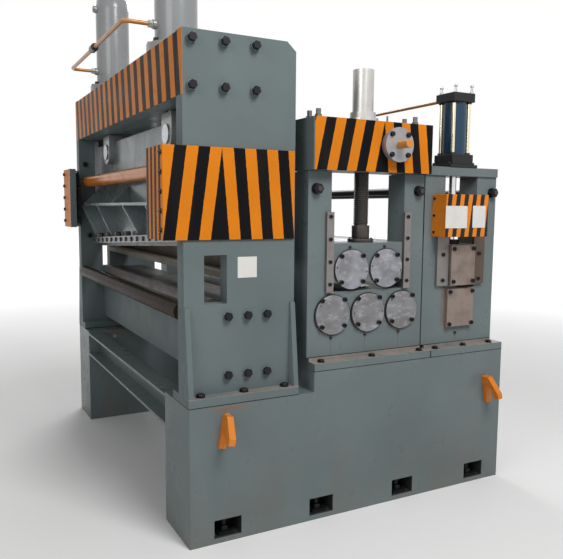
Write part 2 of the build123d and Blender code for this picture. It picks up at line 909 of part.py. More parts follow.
# Adjusting screws that carry the carriages, each on a foot plate with a collar
screw_foot_top = carriage_top + screw_foot
screw_collar_top = screw_foot_top + screw_collar
screw_cover_top = box_top + screw_cover_height
screw_top = screw_cover_top - screw_cover_lid - screw_headroom
screw_axis = Axis((leveller_x, -screw_y, 0), (0, 0, 1))
with BuildPart() as near_screw:
    with BuildSketch(upright_plane(leveller_x, -screw_y)):
        with BuildLine():
            Polyline(
                (0, carriage_top),
                (screw_foot_radius, carriage_top),
                (screw_foot_radius, screw_foot_top),
                (screw_collar_radius, screw_foot_top),
                (screw_collar_radius, screw_collar_top),
                (screw_radius, screw_collar_top),
                (screw_radius, screw_top),
                (0, screw_top),
                close=True,
            )
        make_face()
    revolve(axis=screw_axis)
write(both_sides(near_screw.part), "adjusting_screws")

# Screw boxes that close the windows and hold the worm gears
box_length = leveller_length + box_overhang
with BuildPart() as near_screw_box:
    with BuildSketch(Plane.XY.offset(box_bottom)):
        with Locations((leveller_end - box_length / 2, box_width / 2 - half_width)):
            Rectangle(box_length, box_width)
    extrude(amount=box_height)
    chamfer(near_screw_box.edges().filter_by(Axis.Z), box_edge)
    with Locations((leveller_x, -screw_y, box_top)):
        Hole(screw_radius + running_gap, depth=box_height)
    with BuildSketch(Plane.XZ.offset(half_width)):
        with Locations((shaft_x, shaft_level)):
            Circle(shaft_radius + running_gap)
    extrude(amount=-box_width, mode=Mode.SUBTRACT)
write(near_screw_box.part, "near_screw_box")
write(far_side(near_screw_box.part), "far_screw_box")

# Capped tubes over the screws
screw_cover_bore = screw_radius + free_gap
screw_cover_flange_top = box_top + screw_cover_flange
screw_cover_hub_top = box_top + screw_cover_hub
with BuildPart() as near_screw_cover:
    with BuildSketch(upright_plane(leveller_x, -screw_y)):
        with BuildLine():
            Polyline(
                (screw_cover_bore, box_top),
                (screw_cover_flange_radius, box_top),
                (screw_cover_flange_radius, screw_cover_flange_top),
                (screw_cover_hub_radius, screw_cover_flange_top),
                (screw_cover_hub_radius, screw_cover_hub_top),
                (screw_cover_radius, screw_cover_hub_top),
                (screw_cover_radius, screw_cover_top),
                (0, screw_cover_top),
                (0, screw_cover_top - screw_cover_lid),
                (screw_cover_bore, screw_cover_top - screw_cover_lid),
                close=True,
            )
        make_face()
    revolve(axis=screw_axis)
write(both_sides(near_screw_cover.part), "screw_covers")

# Cross shaft that turns both worms together, with its bearing flanges
shaft_flange_outside = half_width + shaft_flange
with BuildPart() as cross_shaft:
    with BuildSketch(Plane.XZ.offset(-half_width)):
        with Locations((shaft_x, shaft_level)):
            Circle(shaft_radius)
    extrude(amount=machine_width + shaft_flange)
    with BuildSketch(Plane.XZ.offset(shaft_flange_outside)):
        with Locations((shaft_x, shaft_level)):
            Circle(shaft_stub_radius)
    extrude(amount=shaft_stub)
    chamfer(cross_shaft.faces().sort_by(Axis.Y)[0].edges(), edge_break / 2)
write(cross_shaft.part, "cross_shaft")

with BuildPart() as near_shaft_flange:
    with BuildSketch(Plane.XZ.offset(half_width)):
        with Locations((shaft_x, shaft_level)):
            Circle(shaft_flange_neck_radius)
    extrude(amount=shaft_flange - shaft_flange_face)
    with BuildSketch(Plane.XZ.offset(shaft_flange_outside - shaft_flange_face)):
        with Locations((shaft_x, shaft_level)):
            Circle(shaft_flange_radius)
    extrude(amount=shaft_flange_face)
    with BuildSketch(Plane.XZ.offset(half_width)):
        with Locations((shaft_x, shaft_level)):
            Circle(shaft_radius + running_gap)
    extrude(amount=shaft_flange, mode=Mode.SUBTRACT)
write(both_sides(near_shaft_flange.part), "shaft_flanges")

# Tie bars between the stands, with a washer and a nut at each end
with BuildPart() as tie_bars:
    with BuildSketch(Plane.XZ):
        with Locations(*[(x, tie_level) for x in tie_places]):
            Circle(tie_radius)
    extrude(amount=stand_outside, both=True)
    with BuildSketch(Plane.XZ.offset(stand_outside)):
        with Locations(*[(x, tie_level) for x in tie_places]):
            Circle(tie_washer_radius)
    near_washers = extrude(amount=tie_washer)
    with BuildSketch(Plane.XZ.offset(stand_outside + tie_washer)):
        with Locations(*[(x, tie_level) for x in tie_places]):
            RegularPolygon(tie_nut_flats / 2, 6, major_radius=False)
    near_nuts = extrude(amount=tie_nut)
    mirror([near_washers, near_nuts], about=Plane.XZ)
write(tie_bars.part, "tie_bars")


# Rolls with stepped necks, turned about a line along Y
def roll_at(x, level, radius):
    """Return one roll of the given radius, lying along Y at x and level."""
    with BuildPart() as roll:
        with BuildSketch(Plane(origin=(x, 0, level))):
            with BuildLine():
                Polyline(
                    (0, -journal_end),
                    (journal_radius, -journal_end),
                    (journal_radius, -journal_start),
                    (neck_radius, -neck_end),
                    (neck_radius, -barrel_end),
                    (radius - roll_edge, -barrel_end),
                    (radius, roll_edge - barrel_end),
                    (radius, barrel_end - roll_edge),
                    (radius - roll_edge, barrel_end),
                    (neck_radius, barrel_end),
                    (neck_radius, neck_end),
                    (journal_radius, journal_start),
                    (journal_radius, journal_end),
                    (0, journal_end),
                    close=True,
                )
            make_face()
        revolve(axis=Axis((x, 0, level), (0, 1, 0)))
    return roll.part


for number, x in enumerate(upper_roll_places, start=1):
    write(roll_at(x, upper_roll_level, leveller_roll_radius), f"upper_leveller_roll_{number}")
for number, x in enumerate(lower_roll_places, start=1):
    write(roll_at(x, lower_roll_level, leveller_roll_radius), f"lower_leveller_roll_{number}")
write(roll_at(pinch_x, upper_pinch_level, pinch_roll_radius), "upper_pinch_roll")
write(roll_at(pinch_x, lower_pinch_level, pinch_roll_radius), "lower_pinch_roll")

# Pinch-roll stands
with BuildPart() as near_pinch_stand:
    with BuildSketch(Plane.XZ.offset(stand_inside)):
        with Locations((pinch_x, (stand_floor + stand_top) / 2)):
            Rectangle(pinch_length, stand_top - stand_floor)
        with Locations((pinch_x, (lower_chock_low + stand_top) / 2)):
            Rectangle(pinch_window, stand_top - lower_chock_low, mode=Mode.SUBTRACT)
        with Locations((tie_places[2], tie_level)):
            Circle(tie_radius + running_gap, mode=Mode.SUBTRACT)
    extrude(amount=stand_plate)
    foot_end = half_length - foot_end_margin
    with BuildSketch(Plane.XY.offset(stand_sill_height)):
        with Locations(((foot_joint + foot_end) / 2, stand_foot_width / 2 - half_width)):
            Rectangle(foot_end - foot_joint, stand_foot_width)
    extrude(amount=stand_foot)
    with BuildSketch(Plane.XY.offset(stand_floor)):
        with Locations(((foot_joint + pinch_end) / 2, -(stand_inside + stand_outside) / 2)):
            Rectangle(pinch_end - foot_joint, stand_plate)
    extrude(amount=-stand_seat)
write(near_pinch_stand.part, "near_pinch_stand")
write(far_side(near_pinch_stand.part), "far_pinch_stand")

# Top plates that close the pinch windows and carry the cylinders
with BuildPart() as near_top_plate:
    with BuildSketch(Plane.XY.offset(stand_top)):
        with Locations(((leveller_end + free_gap + pinch_end) / 2, -screw_y)):
            Rectangle(pinch_length - free_gap, top_plate_width)
        with Locations((pinch_x, -screw_y)):
            Circle(pinch_rod_radius + running_gap, mode=Mode.SUBTRACT)
    extrude(amount=top_plate)
write(both_sides(near_top_plate.part), "pinch_top_plates")

# Keepers beside the pinch windows
pinch_keeper_inside = pinch_boss_width / 2 + free_gap
pinch_keeper_x = pinch_keeper_inside + pinch_keeper_width / 2
with BuildPart() as near_pinch_keepers:
    with BuildSketch(Plane.XZ.offset(stand_outside)):
        with Locations(
            (pinch_x - pinch_keeper_x, window_low + pinch_keeper_height / 2),
            (pinch_x + pinch_keeper_x, window_low + pinch_keeper_height / 2),
        ):
            Rectangle(pinch_keeper_width, pinch_keeper_height)
    extrude(amount=keeper_plate)
write(both_sides(near_pinch_keepers.part), "pinch_keepers")

# Bearing chocks of the pinch rolls: the upper pair slides, the lower pair is fixed
with BuildPart() as near_upper_chock:
    with BuildSketch(Plane.XZ.offset(stand_inside)):
        with Locations((pinch_x, upper_pinch_level)):
            Rectangle(pinch_window - 2 * running_gap, 2 * chock_half_height)
    extrude(amount=stand_plate - running_gap)
    with BuildSketch(Plane.XZ.offset(stand_outside - running_gap)):
        with Locations((pinch_x, upper_pinch_level)):
            Rectangle(pinch_boss_width, 2 * chock_half_height)
    extrude(amount=pinch_boss + running_gap)
    with BuildSketch(Plane.XZ.offset(stand_inside)):
        with Locations((pinch_x, upper_pinch_level)):
            Circle(journal_radius + running_gap)
    extrude(amount=stand_plate + pinch_boss, mode=Mode.SUBTRACT)
write(both_sides(near_upper_chock.part), "upper_pinch_chocks")

with BuildPart() as near_lower_chock:
    with BuildSketch(Plane.XZ.offset(stand_inside)):
        with Locations((pinch_x, (lower_chock_low + lower_chock_top) / 2)):
            Rectangle(pinch_window - 2 * running_gap, lower_chock_top - lower_chock_low)
        with Locations((pinch_x, lower_pinch_level)):
            Circle(journal_radius + running_gap, mode=Mode.SUBTRACT)
    extrude(amount=stand_plate)
write(both_sides(near_lower_chock.part), "lower_pinch_chocks")

with BuildPart() as near_upper_square:
    with BuildSketch(Plane.XZ.offset(stand_outside + pinch_boss)):
        with Locations((pinch_x, upper_pinch_level)):
            Rectangle(pinch_boss_width, 2 * chock_half_height)
    extrude(amount=upper_square_plate)
    chamfer(near_upper_square.faces().sort_by(Axis.Y)[0].edges(), edge_break / 2)
write(both_sides(near_upper_square.part), "upper_pinch_covers")

with BuildPart() as near_lower_square:
    with BuildSketch(Plane.XZ.offset(stand_outside)):
        with Locations((pinch_x, (lower_chock_low + lower_chock_top) / 2)):
            Rectangle(lower_square_cover, lower_chock_top - lower_chock_low - free_gap)
    extrude(amount=lower_square_plate)
    chamfer(near_lower_square.faces().sort_by(Axis.Y)[0].edges(), edge_break / 2)
write(both_sides(near_lower_square.part), "lower_pinch_covers")

# Sheet guards over the upper pinch chocks, open below and behind
guard_start = pinch_x - guard_before_axis
guard_end = pinch_x + pinch_keeper_inside + guard_sheet
guard_low = pass_height + guard_above_strip
guard_face = stand_outside + guard_depth
with BuildPart() as near_pinch_guard:
    with BuildSketch(Plane.XY.offset(guard_low)):
        with BuildLine():
            Polyline(
                (guard_start, -stand_outside),
                (guard_start, -guard_face),
                (guard_end, -guard_face),
                (guard_end, -keeper_face),
                (guard_end - guard_sheet, -keeper_face),
                (guard_end - guard_sheet, guard_sheet - guard_face),
                (guard_start + guard_sheet, guard_sheet - guard_face),
                (guard_start + guard_sheet, -stand_outside),
                close=True,
            )
        make_face()
    extrude(amount=guard_height)
    with BuildSketch(Plane.XY.offset(guard_low + guard_height - guard_sheet)):
        with Locations(((guard_start + guard_end) / 2, -(guard_face + keeper_face) / 2)):
            Rectangle(guard_end - guard_start, guard_face - keeper_face)
    extrude(amount=guard_sheet)
write(both_sides(near_pinch_guard.part), "pinch_guards")

# Tie-rod cylinders over the pinch rolls, each on a mounting flange
pinch_mount_low = stand_top + top_plate
pinch_block_low = pinch_mount_low + pinch_mount
pinch_tube_low = pinch_block_low + pinch_block
pinch_head_low = pinch_tube_low + pinch_tube_length
pinch_bore_top = pinch_head_low - pinch_bore_margin
with BuildPart() as near_pinch_cylinder:
    with BuildSketch(Plane.XY.offset(pinch_mount_low)):
        with Locations((pinch_x, -screw_y)):
            Rectangle(pinch_mount_length, pinch_mount_width)
    extrude(amount=pinch_mount)
    with BuildSketch(Plane.XY.offset(pinch_block_low)):
        with Locations((pinch_x, -screw_y)):
            Rectangle(pinch_block_length, pinch_block_width)
    extrude(amount=pinch_block)
    with BuildSketch(Plane.XY.offset(pinch_tube_low)):
        with Locations((pinch_x, -screw_y)):
            Circle(pinch_tube_radius)
            with GridLocations(pinch_tie_spread_x, pinch_tie_spread_y, 2, 2):
                Circle(pinch_tie_radius)
    extrude(amount=pinch_tube_length)
    with BuildSketch(Plane.XY.offset(pinch_head_low)):
        with Locations((pinch_x, -screw_y)):
            Rectangle(pinch_block_length, pinch_block_width)
    extrude(amount=pinch_head)
    with BuildSketch(Plane.XY.offset(pinch_mount_low)):
        with Locations((pinch_x, -screw_y)):
            Circle(pinch_rod_radius + running_gap)
    extrude(amount=pinch_bore_top - pinch_mount_low, mode=Mode.SUBTRACT)
write(near_pinch_cylinder.part, "near_pinch_cylinder")
write(far_side(near_pinch_cylinder.part), "far_pinch_cylinder")

chock_top = upper_pinch_level + chock_half_height
with BuildPart() as near_pinch_rod:
    with BuildSketch(Plane.XY.offset(chock_top)):
        with Locations((pinch_x, -screw_y)):
            Circle(pinch_foot_radius)
    extrude(amount=pinch_foot)
    with BuildSketch(Plane.XY.offset(chock_top)):
        with Locations((pinch_x, -screw_y)):
            Circle(pinch_rod_radius)
    extrude(amount=pinch_bore_top - pinch_rod_travel - chock_top)
write(both_sides(near_pinch_rod.part), "pinch_rods")

# Pipe between the heads of the pinch cylinders
with BuildPart() as pinch_oil_pipe:
    with BuildSketch(Plane.XZ):
        with Locations((pinch_x, pinch_head_low + pinch_head / 2)):
            Circle(pinch_pipe_radius)
    extrude(amount=screw_y - pinch_block_width / 2, both=True)
write(pinch_oil_pipe.part, "pinch_oil_pipe")
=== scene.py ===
import math

import bmesh
import bpy
from mathutils import Matrix, Vector


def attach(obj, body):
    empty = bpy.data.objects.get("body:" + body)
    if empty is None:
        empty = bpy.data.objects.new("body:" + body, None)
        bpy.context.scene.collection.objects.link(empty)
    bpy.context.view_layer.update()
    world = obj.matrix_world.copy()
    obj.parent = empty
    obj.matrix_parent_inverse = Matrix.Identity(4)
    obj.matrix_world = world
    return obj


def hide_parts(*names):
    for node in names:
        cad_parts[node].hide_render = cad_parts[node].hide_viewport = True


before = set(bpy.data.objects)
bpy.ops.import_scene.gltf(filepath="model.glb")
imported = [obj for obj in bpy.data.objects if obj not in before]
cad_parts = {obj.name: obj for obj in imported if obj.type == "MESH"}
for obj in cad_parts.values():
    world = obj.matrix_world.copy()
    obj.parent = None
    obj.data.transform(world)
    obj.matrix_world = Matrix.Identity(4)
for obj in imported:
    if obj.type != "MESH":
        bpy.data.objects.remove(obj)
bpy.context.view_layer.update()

SIDEWAYS = Vector((0, -1, 0))
TOWARDS_EXIT = Vector((-1, 0, 0))
UPWARDS = Vector((0, 0, 1))

# Half the length and half the width of the base, in millimetres
HALF_LENGTH, HALF_WIDTH = 955, 1220

# Middles of the straightener and of the pinch rolls, levels of their axes, in millimetres
STRAIGHTENER_X, PINCH_X = 994, 1611
LOWER_ROLLS = (STRAIGHTENER_X - 215, STRAIGHTENER_X, STRAIGHTENER_X + 215)
UPPER_ROLLS = (STRAIGHTENER_X - 107.5, STRAIGHTENER_X + 107.5)
LOWER_AXIS, UPPER_AXIS = 1025, 1250
LOWER_PINCH_AXIS, UPPER_PINCH_AXIS = 1013.5, 1251

# Top of the shear frame, level of its oil pipe and of the screw boxes, in metres
FRAME_TOP, PIPE_LEVEL, BOX_TOP = 2.318, 2.455, 1.988


def place(x, y, z):
    """Point in metres from millimetres, counted from the near exit corner of the base."""
    return Vector(((x - HALF_LENGTH) / 1000, (y - HALF_WIDTH) / 1000, z / 1000))


# Finishes

def add_node(tree, kind, settings=None, inputs=None):
    """One shader node, with its settings and the values of its sockets."""
    made = tree.nodes.new(kind)
    for name, value in (settings or {}).items():
        setattr(made, name, value)
    for name, value in (inputs or {}).items():
        if isinstance(value, bpy.types.NodeSocket):
            tree.links.new(value, made.inputs[name])
        else:
            made.inputs[name].default_value = value
    return made


def math_node(tree, operation, first, second=0.0):
    """Result of one Math node."""
    made = add_node(tree, "ShaderNodeMath", {"operation": operation}, {0: first, 1: second})
    return made.outputs[0]


def times(tree, first, second):
    """Product of two values, which is also 1 where two masks are 1."""
    return math_node(tree, "MULTIPLY", first, second)


def either(tree, first, second):
    """Greater of two values, which is also 1 where one of two masks is 1."""
    return math_node(tree, "MAXIMUM", first, second)


def sum_of(tree, first, second):
    """Sum of two values."""
    return math_node(tree, "ADD", first, second)


def less(tree, first, second):
    """First value less the second."""
    return math_node(tree, "SUBTRACT", first, second)


def size_of(tree, value):
    """Value without its sign."""
    return math_node(tree, "ABSOLUTE", value)


def diagonal(tree, first, second):
    """Length of the diagonal over two steps at right angles."""
    squares = sum_of(tree, times(tree, first, first), times(tree, second, second))
    return math_node(tree, "SQRT", squares)


def blend_colors(tree, share, first, second):
    """Colour that goes from first to second with the share."""
    made = add_node(tree, "ShaderNodeMix", {"data_type": "RGBA"}, {0: share, 6: first, 7: second})
    return made.outputs[2]


def spread(tree, value, low, high, to_low=0.0, to_high=1.0):
    """Value stretched from one range to another and kept inside it."""
    sockets = {0: value, 1: low, 2: high, 3: to_low, 4: to_high}
    return add_node(tree, "ShaderNodeMapRange", None, sockets).outputs[0]


def mottle(tree, scale, detail, stretch=(1, 1, 1)):
    """Cloudy pattern from 0 to 1, fixed to the piece."""
    spot = add_node(tree, "ShaderNodeTexCoord").outputs["Object"]
    mapped = add_node(tree, "ShaderNodeMapping", None, {"Vector": spot, "Scale": stretch})
    noise = add_node(
        tree, "ShaderNodeTexNoise", None,
        {"Vector": mapped.outputs[0], "Scale": scale, "Detail": detail, "Roughness": 0.55},
    )
    return noise.outputs["Fac"]


def spot_of(tree):
    """X, Y and Z of the surface on the machine, in metres."""
    spot = add_node(tree, "ShaderNodeTexCoord").outputs["Object"]
    return add_node(tree, "ShaderNodeSeparateXYZ", None, {0: spot}).outputs


def new_finish(name, metallic=0.0, coat=0.0, specular=0.5):
    """An empty material with the sockets set that stay the same all over."""
    finish = bpy.data.materials.new(name)
    finish.use_nodes = True
    shader = finish.node_tree.nodes["Principled BSDF"]
    shader.inputs["Metallic"].default_value = metallic
    shader.inputs["Coat Weight"].default_value = coat
    shader.inputs["Coat Roughness"].default_value = 0.12
    shader.inputs["Specular IOR Level"].default_value = specular
    return finish, finish.node_tree, shader


def surface(tree, shader, color, gloss, bump=None, strength=0.1, depth=0.001):
    """Joins a colour, a roughness and a relief to the shader."""
    tree.links.new(color, shader.inputs["Base Color"])
    tree.links.new(gloss, shader.inputs["Roughness"])
    if bump is not None:
        relief = add_node(
            tree, "ShaderNodeBump", None, {"Height": bump, "Strength": strength, "Distance": depth}
        )
        tree.links.new(relief.outputs[0], shader.inputs["Normal"])


def off(tree, mask):
    """1 where a mask is 0."""
    return less(tree, 1.0, mask)


def above_level(tree, value, level):
    """1 where a value is greater than a level."""
    return math_node(tree, "GREATER_THAN", value, level)


def below_level(tree, value, level):
    """1 where a value is less than a level."""
    return math_node(tree, "LESS_THAN", value, level)


def line_at(tree, value, middle, half):
    """1 along a line where a value is less than half its width from its middle."""
    return below_level(tree, size_of(tree, less(tree, value, middle)), half)


def weathered(tree, color, dirt, amount):
    """Colour with faint clouds and streaks of dirt, of which there are more low on the machine."""
    clouds = spread(tree, mottle(tree, 2.2, 3), 0.3, 0.7)
    shaded = blend_colors(tree, times(tree, clouds, 0.16), color, (0, 0, 0, 1))
    low = spread(tree, spot_of(tree)[2], 0.45, 0.0, 0.0, 0.55)
    streaks = spread(tree, mottle(tree, 7, 3, (1, 1, 0.25)), 0.4, 0.8)
    return blend_colors(tree, times(tree, streaks, sum_of(tree, low, amount)), shaded, dirt)


def sheet_gloss(tree, shader, color, low=0.22, high=0.36):
    """Painted sheet with a light orange peel."""
    gloss = spread(tree, mottle(tree, 9, 4), 0.3, 0.7, low, high)
    surface(tree, shader, color, gloss, mottle(tree, 260, 2), 0.025, 0.0002)


# Colours that more than one finish has
GREY_GREEN = (0.142, 0.174, 0.178, 1)
ORANGE = (0.68, 0.205, 0.013, 1)
STRIPE_BLACK = (0.009, 0.0093, 0.0105, 1)
GRIME = (0.17, 0.14, 0.11, 1)
GRIME_ON_ORANGE = (0.2, 0.13, 0.08, 1)
JOINT_BLACK = (0.012, 0.012, 0.013, 1)


def enamel(name, color, rough=0.3, coat=0.0, dirt=GRIME, amount=0.1, specular=0.3):
    """Sprayed gloss enamel with an orange peel."""
    finish, tree, shader = new_finish(name, 0.0, coat, specular)
    painted = weathered(tree, color, dirt, amount)
    sheet_gloss(tree, shader, painted, rough - 0.05, rough + 0.1)
    return finish


def stripes(tree, along, down, apex, tilts, pitches):
    """1 on black and 0 on orange, for a row of slanting stripes on both sides of an apex.

    along runs across the stripes, down is the depth below their top edge, both in metres.
    """
    left = sum_of(tree, along, times(tree, down, tilts[0]))
    left = math_node(tree, "DIVIDE", less(tree, apex, left), pitches[0])
    right = less(tree, along, times(tree, down, tilts[1]))
    right = math_node(tree, "DIVIDE", less(tree, right, apex), pitches[1])
    count = either(tree, left, right)
    return above_level(tree, math_node(tree, "FLOORED_MODULO", count, 2.0), 1.0)


def brushed_edge(tree, across):
    """Place across the stripes with the small unevenness of a hand-painted edge, in metres."""
    waver = 0.004
    wave = less(tree, mottle(tree, 60, 3), 0.5)
    return sum_of(tree, across, times(tree, wave, waver))


def cover_paint():
    """Chevrons on the outside of a guide cover, bars on the near one's exit face, grey inside."""
    top, apex, outer_face, exit_face, skin = 1.822, -0.773, 1.175, -1.05, 0.0015
    behind_front, behind_side, inner_edge = -1.0445, 1.1655, 0.9415
    chevron_tilts, chevron_widths, bar_width = (0.136, 0.085), (0.0555, 0.056), 0.029
    finish, tree, shader = new_finish("guide_cover_paint", 0.0, 0.0, 0.02)
    x, y, z = spot_of(tree)
    out = size_of(tree, y)
    down = less(tree, top, z)
    chevrons = stripes(tree, brushed_edge(tree, x), down, apex, chevron_tilts, chevron_widths)
    depth = brushed_edge(tree, less(tree, outer_face, out))
    bars = stripes(tree, depth, down, 0.0, (0.0, 0.0), (bar_width, bar_width))
    outside = above_level(tree, out, outer_face - skin)
    in_front = below_level(tree, x, exit_face + skin)
    near_front = times(tree, in_front, below_level(tree, y, 0.0))
    bars = times(tree, bars, times(tree, near_front, off(tree, outside)))
    black = either(tree, times(tree, chevrons, outside), bars)
    within_side = off(tree, above_level(tree, out, behind_side))
    behind = times(tree, above_level(tree, x, behind_front), within_side)
    inside = either(tree, below_level(tree, out, inner_edge), behind)
    color = blend_colors(tree, black, ORANGE, STRIPE_BLACK)
    color = blend_colors(tree, inside, color, GREY_GREEN)
    sheet_gloss(tree, shader, weathered(tree, color, GRIME_ON_ORANGE, 0.04))
    return finish


def face_stripes(name, pattern, where, joint_level=0.0, foot_level=0.0):
    """Grey-green enamel with stripes on one face, and a dark joint and dusty feet at two levels."""
    finish, tree, shader = new_finish(name, 0.0, 0.0, 0.02)
    spot = spot_of(tree)
    striped = blend_colors(tree, pattern(tree, spot), ORANGE, STRIPE_BLACK)
    color = blend_colors(tree, where(tree, spot), GREY_GREEN, striped)
    color = weathered(tree, color, GRIME, 0.05)
    if joint_level:
        plate_face = 1.17
        beyond_plate = above_level(tree, size_of(tree, spot[1]), plate_face)
        foot_top = times(tree, line_at(tree, spot[2], foot_level, 0.003), beyond_plate)
        dust = spread(tree, mottle(tree, 9, 6), 0.3, 0.6, 0.1, 0.8)
        color = blend_colors(tree, times(tree, foot_top, dust), color, (0.27, 0.22, 0.19, 1))
        joint = line_at(tree, spot[2], joint_level, 0.0022)
        color = blend_colors(tree, joint, color, JOINT_BLACK)
    sheet_gloss(tree, shader, color, 0.24, 0.38)
    return finish


def box_pattern(tree, spot):
    """Stripes that lean away from an apex on a screw box."""
    apex, tilts, widths = 0.083, (0.21, 0.12), (0.0565, 0.0525)
    down = less(tree, BOX_TOP, spot[2])
    return stripes(tree, brushed_edge(tree, spot[0]), down, apex, tilts, widths)


def on_box_face(tree, spot):
    """1 on the outer faces of the screw boxes."""
    return above_level(tree, size_of(tree, spot[1]), 1.2185)


def beam_pattern(tree, spot):
    """Leaning stripes along the top beam."""
    near_end, width, tilt = -1.168, 0.064, 0.144
    down = less(tree, FRAME_TOP, spot[2])
    across = brushed_edge(tree, sum_of(tree, spot[1], times(tree, down, tilt)))
    return stripes(tree, across, down, near_end, (0.0, 0.0), (width, width))


def on_exit_face(tree, spot):
    """1 on the exit face of the shear frame."""
    return below_level(tree, spot[0], -0.9535)


def beside_beam(tree, spot):
    """1 on the exit edge of a shear plate beside the top beam."""
    beam_foot = 2.041
    return times(tree, on_exit_face(tree, spot), above_level(tree, spot[2], beam_foot))


def metal(name, color, rough, metallic, grain=(1, 1, 1), stain=(0.12, 0.08, 0.05, 1),
          stains=0.2, grit=180, specular=0.5, relief=0.04):
    """Bare steel with a machined grain and thin stains of oil and rust."""
    finish, tree, shader = new_finish(name, metallic, specular=specular)
    patches = spread(tree, mottle(tree, 11, 6), 0.45, 0.75, 0.0, stains)
    toned = blend_colors(tree, patches, color, stain)
    gloss = spread(tree, mottle(tree, grit, 3, grain), 0.3, 0.7, rough - 0.07, rough + 0.1)
    surface(tree, shader, toned, gloss, mottle(tree, grit, 2, grain), relief, 0.0002)
    return finish


machine_paint = enamel("machine_paint", GREY_GREEN, specular=0.18)
carrier_paint = enamel("carrier_paint", GREY_GREEN, 0.24, 0.12)
# Hold-down beam enamel: the grime is dirt, and its dark brown tone is partly painted shade inside
# the frame
shaded_inner_paint = enamel("shaded_inner_paint", (0.118, 0.1, 0.074, 1), 0.34, amount=0.35, specular=0.04)
hook_paint = enamel("hook_paint", ORANGE, dirt=(0.2, 0.075, 0.015, 1), amount=0.3)
tube_paint = enamel("tube_paint", (0.6, 0.19, 0.025, 1), 0.2, amount=0.04, specular=0.2)
light_grey_paint = enamel("light_grey_paint", (0.27, 0.28, 0.285, 1), 0.22, 0.4, amount=0.05)
deep_blue_paint = enamel("deep_blue_paint", (0.012, 0.042, 0.078, 1), 0.2, 0.1, amount=0.02)
satin_black = enamel("satin_black", (0.011, 0.011, 0.012, 1), 0.42, amount=0.02)


def bed_paint():
    """Enamel that is worn to brown steel on the flat top of the shear bed, where the dark brown is
    also painted shade.
    """
    flat_level = 1.0
    finish, tree, shader = new_finish("bed_paint", 0.0, 0.0, 0.06)
    worn_and_shaded = spread(tree, mottle(tree, 6, 6, (1, 0.4, 1)), 0.3, 0.7, 0.55, 1.0)
    worn_and_shaded = times(tree, worn_and_shaded, above_level(tree, spot_of(tree)[2], flat_level))
    color = weathered(tree, GREY_GREEN, GRIME, 0.06)
    # Dark brown on the flat top: worn steel, and painted shade inside the frame
    color = blend_colors(tree, worn_and_shaded, color, (0.045, 0.037, 0.029, 1))
    sheet_gloss(tree, shader, color, 0.4, 0.55)
    return finish


def guard_paint():
    """Orange sheet with black bars across its outer face."""
    top, first_bar, width, tilt, outer_face = 1.635, 0.4385, 0.0286, 0.116, 1.2705
    finish, tree, shader = new_finish("guard_paint", 0.0, 0.0, 0.2)
    x, y, z = spot_of(tree)
    down = less(tree, top, z)
    across = sum_of(tree, brushed_edge(tree, x), times(tree, down, tilt))
    bars = stripes(tree, across, down, first_bar, (0.0, 0.0), (width, width))
    outside = above_level(tree, size_of(tree, y), outer_face)
    color = blend_colors(tree, times(tree, bars, outside), ORANGE, STRIPE_BLACK)
    sheet_gloss(tree, shader, weathered(tree, color, GRIME_ON_ORANGE, 0.04))
    return finish


def turned_steel(name, rim, tone):
    """Light machined steel with stains and scratches, and a dark rim behind its face that is
    painted shade.
    """
    finish, tree, shader = new_finish(name, 0.7)
    shaded_rim = below_level(tree, size_of(tree, spot_of(tree)[1]), rim)
    patches = spread(tree, mottle(tree, 12, 6), 0.38, 0.62, 0.0, 0.65)
    toned = blend_colors(tree, patches, (*tone, 1), (0.14, 0.135, 0.135, 1))
    scratches = spread(tree, mottle(tree, 26, 6, (1, 1, 2)), 0.5, 0.75, 0.0, 0.6)
    toned = blend_colors(tree, scratches, toned, (0.46, 0.45, 0.46, 1))
    # Dark colour on the rim behind the face: painted shade of the cover's side
    color = blend_colors(tree, shaded_rim, toned, (0.035, 0.032, 0.03, 1))
    gloss = spread(tree, mottle(tree, 22, 6), 0.3, 0.7, 0.28, 0.5)
    surface(tree, shader, color, gloss, mottle(tree, 150, 4, (1, 1, 3)), 0.18, 0.0003)
    return finish


def sill_paint():
    """Enamel, black inside the anchor pockets with oil and painted shade, rusty and bare at the
    hook near the exit.
    """
    pocket_top, pocket_inside, pocket_outside, half_row = 0.125, 1.09, 1.2145, 0.94
    hook_x, rust_level, weld_x, weld_level = -0.76, 0.625, -0.768, 0.592
    finish, tree, shader = new_finish("sill_paint", 0.0, 0.0, 0.18)
    x, y, z = spot_of(tree)
    out = size_of(tree, y)
    color = weathered(tree, GREY_GREEN, GRIME, 0.05)
    beyond = above_level(tree, out, pocket_inside)
    between = times(tree, beyond, below_level(tree, out, pocket_outside))
    pocket_oil_and_shade = times(tree, below_level(tree, z, pocket_top), between)
    pocket_oil_and_shade = times(tree, pocket_oil_and_shade, line_at(tree, x, 0.0, half_row))
    # Black inside the pockets: oil, and painted shade of the hollows
    color = blend_colors(tree, times(tree, pocket_oil_and_shade, 0.85), color, (0.012, 0.011, 0.011, 1))
    level = less(tree, z, times(tree, mottle(tree, 11, 4), 0.03))
    near_hook = spread(tree, size_of(tree, less(tree, x, hook_x)), 0.02, 0.11, 1.0, 0.0)
    above_hook = spread(tree, size_of(tree, less(tree, level, rust_level)), 0.0, 0.018, 0.75, 0.0)
    color = blend_colors(tree, times(tree, near_hook, above_hook), color, (0.22, 0.115, 0.06, 1))
    from_weld = diagonal(tree, less(tree, x, weld_x), less(tree, level, weld_level))
    bare = spread(tree, from_weld, 0.009, 0.017, 0.75, 0.0)
    color = blend_colors(tree, bare, color, (0.42, 0.44, 0.46, 1))
    sheet_gloss(tree, shader, color, 0.25, 0.4)
    return finish


